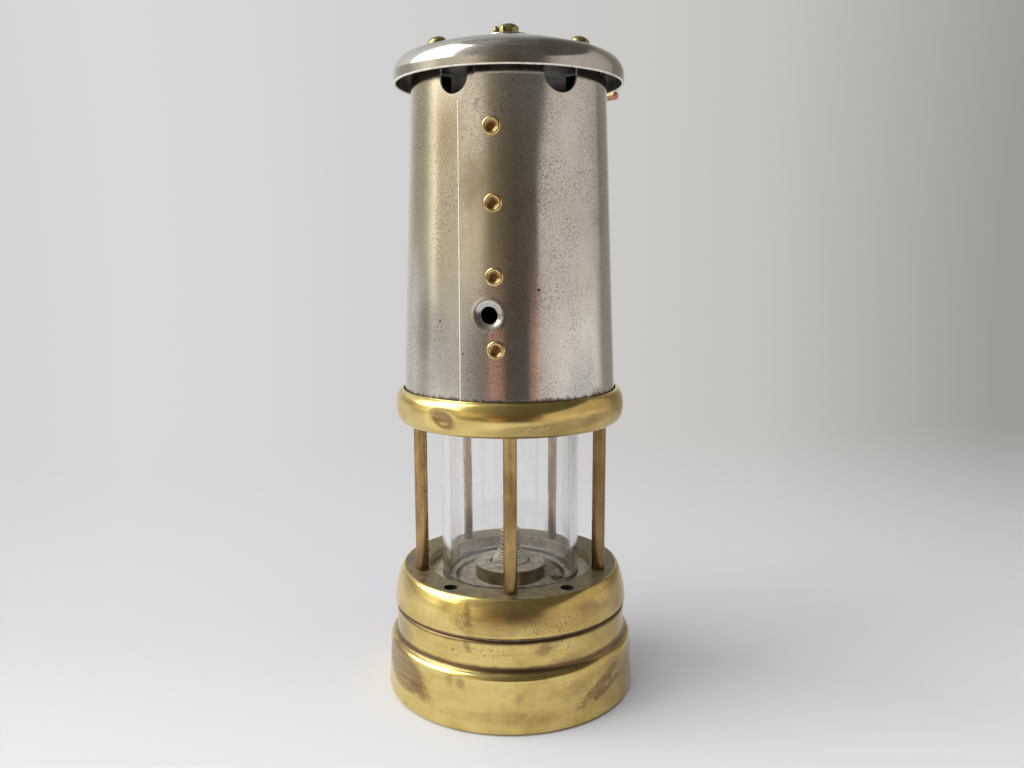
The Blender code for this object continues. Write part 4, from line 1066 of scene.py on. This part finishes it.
def build_bonnet():
    lock_turn = 15.0
    turns = set(np.arange(0, 391.01, 1.25).tolist()) | set(np.arange(0, 14, 0.6).tolist())
    for middle in (lock_turn, lock_turn + 360):
        turns |= set(np.arange(middle - 9.6, middle + 9.7, 0.6).tolist())
    turns = np.array(sorted(t for t in turns if 0.3 < t < 390.7))
    heights = np.unique(np.round(np.concatenate([np.linspace(BONNET_BOTTOM, BONNET_TOP, 22),
        np.arange(117.6, 128.5, 0.45), np.arange(182.6, 190.5, 0.5)]), 3))
    bend = SHEET / 2
    rim = np.radians(np.arange(0, 181, 30))
    ease = math.degrees(0.42 / CONE_RADIUS)
    first = [(ease * (1 - math.sin(a)), bend - bend * math.cos(a)) for a in rim[::-1]]
    last = [(391 - ease * (1 - math.sin(a)), bend - bend * math.cos(a)) for a in rim]
    loop = np.array([(t, 0.0) for t in turns] + last + [(t, SHEET) for t in turns[::-1]] + first)
    grid = sheet_point(loop[:, 0][:, None], heights[None, :], loop[:, 1][:, None])
    count, rows = grid.shape[:2]
    faces, kinds = [], []
    outer = len(turns)
    for column in range(count):
        after = (column + 1) % count
        kind = 0 if column < outer - 1 else 1
        # Painted highlight: the sheet's rims and lap edges take the near-white edge finish.
        if outer - 1 <= column < outer + len(last) or column >= count - len(first) - 1:
            kind = 2
        for row in range(rows - 1):
            faces.append([column * rows + row, column * rows + row + 1, after * rows + row + 1,
                after * rows + row])
            kinds.append(kind)
    for row in (0, rows - 1):
        inner = count - len(first) - 1
        for column in range(outer - 1):
            faces.append([column * rows + row, (column + 1) * rows + row,
                (inner - column - 1) * rows + row, (inner - column) * rows + row])
            kinds.append(2)
        cap = list(range(outer - 1, outer + len(last) + 1))
        faces.append([index * rows + row for index in cap])
        cap = list(range(count - len(first) - 1, count)) + [0]
        faces.append([index * rows + row for index in cap])
        kinds += [2, 2]
    shell = made("bonnet_sheet", grid.reshape(-1, 3).tolist(), faces, "steel", "soot", "edge")
    shell.data.polygons.foreach_set("material_index", kinds)

    # Cut faces take the near-white edge finish, a painted highlight along the slots and holes.
    tools = []
    for degrees, width in SLOTS:
        half = width / 2
        slot = [*arc((0.0, SLOT_BOTTOM + half), half, 180, 360, 32), (half, BONNET_TOP + 1.0),
            (-half, BONNET_TOP + 1.0)]
        turn = Matrix.Rotation(math.radians(degrees), 4, "Z")
        ends = [[(x, -reach, z) for x, z in slot] for reach in (24, 38)]
        size = len(slot)
        sides = [[i, (i + 1) % size, size + (i + 1) % size, size + i] for i in range(size)]
        tool = made("slot", ends[0] + ends[1], sides + [list(range(size)), list(range(size, 2 * size))],
            "edge")
        tools.append(moved(tool, turn))
    for degrees, height in SEAM_RIVETS:
        hole = peg("rivet_hole", 1.4, 26, 37, "edge", segments=32)
        tools.append(aimed(hole, Vector((0.0, 0.0, height)), spot(1.0, degrees, 0.0)))
    hole = peg("lock_hole", LOCK_RADIUS, 26, 37, "edge")
    tools.append(aimed(hole, Vector((0.0, 0.0, LOCK_HEIGHT)), spot(1.0, LOCK_ANGLE, 0.0)))
    carve(shell, joined("bonnet_cuts", tools))
    piece(shell, "bonnet", "worn_steel", "bonnet_shell", sharp=40)

    collar("bonnet_mount_ring", "plain_brass", 27.2, "bonnet", "polished_brass", "bonnet_foot_ring",
        edge=0.3)


def build_seam_rivets():
    """Tubular rivets: a rolled head outside, a shank through both laps, a flare inside."""
    head, dimple = 2.65, 1.35
    inside = -(2 * SHEET + LAP_GAP)
    roll = arc(((head + dimple) / 2 + 0.05, 0.55), 0.62, 170, 0, 16)
    outline = [(0.0, 0.42), (dimple - 0.35, 0.42), *roll, (head, 0.1), (head - 0.15, -0.25),
        (1.2, -0.25), (1.2, inside + 0.05), (2.0, inside + 0.05), (1.8, inside - 0.5),
        (0.0, inside - 0.6)]
    for index, (degrees, height) in enumerate(SEAM_RIVETS):
        rivet = lathe(f"rivet_seam_{index + 1}", outline, "rivet", "rivet_dull", segments=SMALL,
            edge=0.06)
        # The dimple takes the dark recess finish, painted shade.
        paint(rivet, 1, lambda centre, normal: centre.xy.length < dimple and centre.z > 0.0)
        aimed(rivet, spot(cone_radius(height), degrees, height), spot(1.0, degrees, 0.0))
        piece(rivet, "bonnet", "rivet_brass", f"seam_rivet_{index + 1}")


# -------------------------------------------------------------------------- hood


def cap_drop(radius):
    """How far the hood's cap has fallen below its apex at a radius."""
    return CAP_RADIUS - math.sqrt(CAP_RADIUS ** 2 - radius ** 2)


def on_hood(degrees, radius):
    """A point on the hood's outer face, and the face's outward direction there."""
    slope = math.asin(radius / CAP_RADIUS)
    return (spot(radius, degrees, HOOD_APEX - cap_drop(radius)),
        spot(math.sin(slope), degrees, math.cos(slope)))


def build_hood():
    shoulder = 6.0
    centre_radius = HOOD_RADIUS - shoulder
    joint = centre_radius / (1 - shoulder / CAP_RADIUS)
    slope = math.asin(joint / CAP_RADIUS)
    centre_height = HOOD_APEX - cap_drop(joint) - shoulder * math.cos(slope)

    def face(inset, steps):
        cap = [(radius, HOOD_APEX - cap_drop(radius) - inset)
            for radius in np.linspace(2.5, joint * (1 - inset / CAP_RADIUS), steps)[:-1]]
        bend = arc((centre_radius, centre_height), shoulder - inset, 90 - math.degrees(slope), 0, 20)
        return cap + bend

    rim = arc((HOOD_RADIUS - HOOD_SHEET / 2, HOOD_RIM + HOOD_SHEET / 2), HOOD_SHEET / 2, 0, -180, 10)
    outline = face(0.0, 14) + rim + face(HOOD_SHEET, 8)[::-1]
    hood = lathe("hood_cap", outline, "hood_steel", "dull_steel", "edge", segments=288, edge=0.0)
    wall = HOOD_RADIUS - HOOD_SHEET

    def is_inside(centre, normal):
        reach = centre.xy.length
        outward = Vector((centre.x, centre.y, 0.0)).dot(normal)
        return normal.z < -0.3 and reach < wall or (outward < -0.3 * reach and centre.z > HOOD_RIM + 1.0)

    paint(hood, 1, is_inside)
    # Painted highlight: the rim takes the near-white edge finish.
    paint(hood, 2, lambda centre, normal: centre.z < HOOD_RIM + 0.45)
    piece(hood, "bonnet", "worn_steel", "hood", sharp=60)

    head = 2.9
    dome = [(head * math.sin(math.radians(a)), 1.9 * math.cos(math.radians(a))) for a in range(6, 91, 6)]
    stack = -2.5
    outline = [(0.0, 1.9), *dome, (head - 0.1, -0.3), (1.5, -0.3), (1.5, stack), (2.4, stack),
        (2.2, stack - 0.7), (0.0, stack - 0.7)]
    for index, degrees in enumerate(HOOD_RIVET_ANGLES):
        point, outward = on_hood(degrees, HOOD_RIVET_CIRCLE)
        rivet = lathe(f"rivet_hood_{index + 1}", outline, "rivet_green", segments=SMALL, edge=0.08)
        piece(aimed(rivet, point, outward), "bonnet", "rivet_brass", f"hood_rivet_{index + 1}")


# --------------------------------------------------------------- swivel and hook


def build_swivel():
    bottom, top, radius = HOOD_APEX - 0.15, high("swivel_washer").z, high("swivel_washer").x
    bore = 3.5
    washer = lathe("swivel_plate", [(bore, top), (radius, top - 0.1), (radius, bottom - 0.1),
        (bore, bottom)], "hood_steel", edge=0.25)
    piece(washer, "bonnet", "worn_steel", "swivel_washer")

    turn = Matrix.Rotation(SWIVEL_TURN, 4, "Z")
    post_top, foot, stem = high("swivel_post").z, HOOD_APEX + 0.15, 2.1
    post_radius = 3.2
    dome = [(post_radius * math.sin(math.radians(a)), post_top - 1.9 * (1 - math.cos(math.radians(a))))
        for a in range(7, 91, 7)]
    outline = [(0.0, post_top), *dome, (post_radius, foot), (stem, foot), (stem, low("swivel_post").z),
        (0.0, low("swivel_post").z)]
    post = lathe("swivel_stud", outline, "rivet_green", segments=96, edge=0.15)
    slot = block("slot", (-1.25, -5, foot + 0.75), (1.25, 5, post_top + 1.0))
    carve(post, slot)
    cross = shift((0.0, 0.0, PIN_HEIGHT)) @ Matrix.Rotation(-math.pi / 2, 4, "Y")
    carve(post, moved(peg("pin_hole", 1.0, -6, 6), cross))
    piece(moved(post, turn), "swivel", "rivet_brass", "swivel_post")

    outline = [(0.0, 4.7), (0.8, 4.55), (1.2, 4.2), (1.35, 3.85), (1.3, 3.2), (0.95, 3.15),
        (0.95, -3.1), (0.0, -3.1)]
    pin = lathe("hook_pivot", outline, "rivet_green", segments=48, edge=0.1)
    piece(moved(pin, turn @ cross), "swivel", "rivet_brass", "hook_pin")


def hook_route():
    """The rod's centre line in the hook's own plane, +Y away from the pin, with its thickness."""
    rod_radius, neck = 1.6, 1.0
    across, along, bow_radius = 12.3, 83.8, 13.2
    left = across - bow_radius
    stem = [(0.0, y) for y in (1.2, 3, 5, 7, 9, 11, 13, 18, 24, 30, 36, 42, 48)]
    start, finish = stem[-1][1], along
    sweep = []
    for step in range(1, 12):
        t = step / 12
        sweep.append((left * t * t * (3 - 2 * t), start + (finish - start) * t))
    bow = arc((across, along), bow_radius, 180, 0, 48)
    flare_radius, flare_turn = 6, 62
    flare = arc((across + bow_radius + flare_radius, along), flare_radius, 180, 180 + flare_turn, 14)[1:]
    heading = math.radians(180 + flare_turn + 90)
    reach = (0.7, 1.4, 1.9, 2.3, 2.6, 2.85, 3.0)
    tip = [(flare[-1][0] + r * math.cos(heading), flare[-1][1] + r * math.sin(heading)) for r in reach]
    route = stem + sweep + bow + flare + tip
    thickness = np.full(len(route), rod_radius)
    thickness[:7] = np.interp([p[1] for p in stem[:7]], (8, 12.5), (neck, rod_radius))
    thickness[-4:] = rod_radius * np.array([0.93, 0.8, 0.6, 0.3])
    return route, thickness


def build_hook():
    route, thickness = hook_route()
    line = [(x, y, 0.0) for x, y in route]
    hook = bundle("hook_rod", [rod(line, thickness, 24, (0.0, 0.0, 1.0))], "copper")
    cross = Matrix.Rotation(math.pi / 2, 4, "Y")
    eye = peg("eye", 2.0, -1.1, 1.1, edge=0.3)
    carve(hook, moved(eye, cross), "UNION")
    carve(hook, moved(peg("eye_hole", 1.05, -3, 3), cross))
    place = shift((0.0, 0.0, PIN_HEIGHT)) @ Matrix.Rotation(SWIVEL_TURN, 4,
        "Z") @ Matrix.Rotation(HOOK_DROOP, 4, "X")
    piece(moved(hook, place), "hook", "copper_rod", "hook", sharp=50)


def finish_kept_nodes():
    """Finishes for the CAD nodes whose own shape is right."""
    # The spindle gland takes the dark recess finish, painted shade.
    kept = {"spindle_gland": "rivet_dull", "wick_carrier": "plain_brass", "swivel_nut": "rivet_green",
        "hood_bracket_1": "soot", "hood_bracket_2": "soot", "hood_bracket_3": "soot"}
    for node, finish in kept.items():
        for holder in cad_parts[node].material_slots:
            holder.material = FINISHES[finish]


# ------------------------------------------------------------------------ studio

# The reference view: pitch, roll and yaw in degrees, and a lens for the sensor's width
CAMERA_PLACE = (0.0, -284.8, 141.9)
CAMERA_ANGLES = (8.62, -0.17, 0.15)
LENS, SENSOR = 31.54, 36.0

# What polished metal sees round the lamp: (degrees from the front towards +X, colour)
SURROUND_LOW = (
    (-180, (0.74, 0.73, 0.7)), (-150, (0.7, 0.69, 0.66)), (-132, (0.48, 0.46, 0.41)),
    (-112, (0.48, 0.45, 0.38)), (-95, (0.92, 0.87, 0.75)), (-80, (1.35, 1.25, 1.03)),
    (-68, (0.66, 0.6, 0.48)), (-48, (0.86, 0.78, 0.63)), (-34, (0.84, 0.72, 0.56)),
    (-20, (0.28, 0.235, 0.165)), (-7, (0.165, 0.133, 0.09)), (7, (0.11, 0.086, 0.068)),
    (30, (0.135, 0.107, 0.09)), (34, (0.64, 0.59, 0.54)), (45, (0.72, 0.64, 0.58)),
    (62, (0.7, 0.63, 0.59)), (100, (0.62, 0.56, 0.52)), (119, (0.46, 0.42, 0.38)),
    (123, (0.25, 0.235, 0.2)), (150, (0.32, 0.3, 0.27)), (168, (0.7, 0.68, 0.64)),
)
# The same near the horizon and below it
SURROUND_NEAR = (
    (-180, (0.74, 0.73, 0.7)), (-140, (0.7, 0.69, 0.66)), (-124, (0.79, 0.8, 0.86)),
    (-104, (0.5, 0.46, 0.44)), (-87, (0.72, 0.71, 0.71)), (-71, (0.62, 0.587, 0.586)),
    (-57, (0.58, 0.533, 0.49)), (-44, (0.385, 0.345, 0.33)), (-31, (0.254, 0.22, 0.195)),
    (-23, (0.28, 0.22, 0.19)), (-20, (0.52, 0.31, 0.25)), (-10, (0.42, 0.23, 0.18)),
    (-3, (0.13, 0.095, 0.08)), (6, (0.106, 0.088, 0.078)), (20, (0.115, 0.095, 0.085)),
    (23, (0.42, 0.255, 0.21)), (28, (0.5, 0.33, 0.27)), (31, (0.69, 0.556, 0.52)),
    (45, (0.83, 0.75, 0.71)), (58, (0.92, 0.847, 0.836)), (72, (0.91, 0.855, 0.836)),
    (88, (0.98, 0.93, 0.88)), (108, (0.85, 0.8, 0.76)), (122, (0.32, 0.3, 0.27)),
    (150, (0.32, 0.3, 0.27)), (168, (0.7, 0.68, 0.64)),
)
SURROUND_HIGH = (
    (-180, (0.45, 0.45, 0.44)), (-150, (0.75, 0.75, 0.74)), (-126, (0.95, 0.95, 0.94)),
    (-112, (1.1, 1.1, 1.08)), (-109, (4.6, 4.55, 4.35)), (-60, (4.6, 4.55, 4.35)),
    (-54, (0.9, 0.88, 0.82)), (-36, (0.42, 0.41, 0.37)), (-14, (0.21, 0.2, 0.17)),
    (2, (0.14, 0.13, 0.115)), (110, (0.125, 0.12, 0.11)), (150, (0.16, 0.155, 0.14)),
    (178, (0.42, 0.42, 0.41)),
)
# Sines of the elevations where the low surround gives way to the high one
SURROUND_EDGE = (
    (-180, 0.34), (-150, 0.27), (-20, 0.27), (33, 0.16), (60, 0.34), (90, 0.56), (118, 0.7),
    (150, 0.64), (170, 0.42), (179, 0.34),
)
SURROUND_TOP = (
    (-180, (0.3, 0.3, 0.29)), (-100, (0.5, 0.5, 0.48)), (-60, (0.48, 0.48, 0.46)),
    (-20, (0.26, 0.26, 0.24)), (30, (0.17, 0.17, 0.16)), (120, (0.15, 0.15, 0.14)),
    (178, (0.28, 0.28, 0.27)),
)
# The backdrop seen straight on, painted lighter on the left and darker to the right as falloff of the
# light from the left.
BACKDROP = (
    (-0.49, (0.66, 0.662, 0.665)), (-0.39, (0.7, 0.693, 0.708)), (-0.28, (0.684, 0.682, 0.69)),
    (-0.17, (0.65, 0.646, 0.652)), (0.16, (0.585, 0.576, 0.556)), (0.27, (0.55, 0.536, 0.515)),
    (0.38, (0.442, 0.43, 0.412)), (0.48, (0.338, 0.328, 0.31)),
)


class Surround(Nodes):
    """World nodes that choose a colour by direction."""

    def __init__(self):
        world = bpy.data.worlds.new("studio")
        bpy.context.scene.world = world
        world.use_nodes = True
        self.tree = world.node_tree

    def ramp(self, fraction, stops, first=-180, last=180):
        """A colour or a number for each fraction of the way from first to last."""
        node = self.tree.nodes.new("ShaderNodeValToRGB")
        self.put(node.inputs[0], fraction)
        elements = node.color_ramp.elements
        while len(elements) < len(stops):
            elements.new(0.5)
        for element, (place, colour) in zip(elements, stops):
            element.position = (place - first) / (last - first)
            element.color = (*colour, 1.0) if isinstance(colour, tuple) else (colour,) * 3 + (1.0,)
        return Value(self, node.outputs[0])


def build_surround():
    """Soft studio surroundings: a window light on the left, a pale wall on the right."""
    sky = Surround()
    direction = sky.node("TexCoord", {}, "Generated")
    x, y, z = (sky.part(direction, letter) for letter in "XYZ")
    around = sky.math("ARCTAN2", x, y * -1.0) * (0.5 / math.pi) + 0.5
    above = z - sky.ramp(around, SURROUND_EDGE)
    colour = sky.mix(sky.between(z, -0.03, 0.06), sky.ramp(around, SURROUND_NEAR),
        sky.ramp(around, SURROUND_LOW))
    colour = sky.mix(sky.between(above, -0.035, 0.035), colour, sky.ramp(around, SURROUND_HIGH))
    colour = sky.mix(sky.between(z, 0.86, 0.92), colour, sky.ramp(around, SURROUND_TOP))

    def path(output):
        return sky.node("LightPath", {}, output)

    bounces = path("Diffuse Depth") + path("Glossy Depth")
    through = path("Is Transmission Ray") * sky.math("LESS_THAN", bounces, 0.5)
    straight = sky.math("MAXIMUM", path("Is Camera Ray"), through)
    colour = sky.mix(straight, colour, sky.ramp(x + 0.5, BACKDROP, -0.5, 0.5))
    sky.put(sky.tree.nodes["Background"].inputs["Color"], colour)


def build_floor():
    """A pale table, painted lighter towards the front as falloff of the light, whose far part fades into
    the backdrop.
    """
    rows, steps = (50, 120, 300, 700, 1400, 2600), 96
    vertices = [(0.0, 0.0, 0.0)]
    for radius in rows:
        vertices += [spot(radius, 360 * step / steps + 90, 0.0) for step in range(steps)]
    faces = [[0, 1 + step, 1 + (step + 1) % steps] for step in range(steps)]
    for row in range(len(rows) - 1):
        start = 1 + row * steps
        for step in range(steps):
            after = (step + 1) % steps
            faces.append([start + step, start + steps + step, start + steps + after, start + after])
    floor = made("table", vertices, faces)
    look = Finish("table_paper")
    grain = look.noise(900, 3)
    # Painted light: the paper is lighter towards the front and darker behind the lamp.
    pale = look.mix(look.between(look.axis("Y"), 60, -60), (0.54, 0.543, 0.58), (0.615, 0.624, 0.66))
    look.finish(look.mix(grain * 0.4, pale, (0.6, 0.605, 0.645)), 0.9, grain, 0.02)
    fade = look.math("MAXIMUM", look.between(look.axis("Y"), -60, 460),
        look.between(look.radius(), 900, 2400))
    fade = look.math("MAXIMUM", fade, look.between(look.axis("Y"), -340, -600))
    mixed = look.node("MixShader", {0: fade, 1: Value(look, look.shader.outputs[0]),
        2: look.node("BsdfTransparent", {})})
    look.put(look.tree.nodes["Material Output"].inputs["Surface"], mixed)
    floor.data.materials.append(look.material)


def soft_light(name, place, size, power, colour):
    """A round soft light aimed at the lamp's foot, which stays out of the reflections."""
    light = bpy.data.lights.new(name, "AREA")
    light.shape = "DISK"
    light.size = size
    light.energy = power
    light.color = colour
    holder = bpy.data.objects.new(name, light)
    holder.location = place
    holder.rotation_euler = (Vector((0.0, 0.0, 0.05)) - holder.location).to_track_quat("-Z",
        "Y").to_euler()
    holder.visible_glossy = False
    bpy.context.scene.collection.objects.link(holder)


def build_lights():
    soft_light("overhead", (0.15, -0.25, 1.5), 1.6, 10.0, (0.93, 0.96, 1.0))
    soft_light("front_fill", (-0.62, -0.72, 0.42), 0.9, 5.5, (1.0, 0.97, 0.92))


def build_camera():
    """The lens, place and aim of the reference view."""
    pitch, roll, yaw = (math.radians(angle) for angle in CAMERA_ANGLES)
    forward = Vector((math.sin(yaw) * math.cos(pitch), math.cos(yaw) * math.cos(pitch),
        -math.sin(pitch)))
    level = Vector((math.cos(yaw), -math.sin(yaw), 0.0))
    above = level.cross(forward)
    right = math.cos(roll) * level + math.sin(roll) * above
    up = math.cos(roll) * above - math.sin(roll) * level
    camera = bpy.data.objects.new("camera", bpy.data.cameras.new("camera"))
    camera.data.lens = LENS
    camera.data.sensor_width = SENSOR
    camera.data.clip_start = 0.01
    camera.matrix_world = shift(CAMERA_PLACE) @ Matrix((right, up, -forward)).transposed().to_4x4()
    bpy.context.scene.collection.objects.link(camera)
    bpy.context.scene.camera = camera


build_camera()
build_surround()
build_floor()
build_lights()
build_vessel()
build_burner()
build_wick()
build_adjuster()
build_seal()
build_base_ring()
build_middle_ring()
build_pillars()
build_glass()
build_gauzes()
build_bonnet()
build_seam_rivets()
build_hood()
build_swivel()
build_hook()
finish_kept_nodes()
bpy.context.scene.view_settings.view_transform = "Standard"
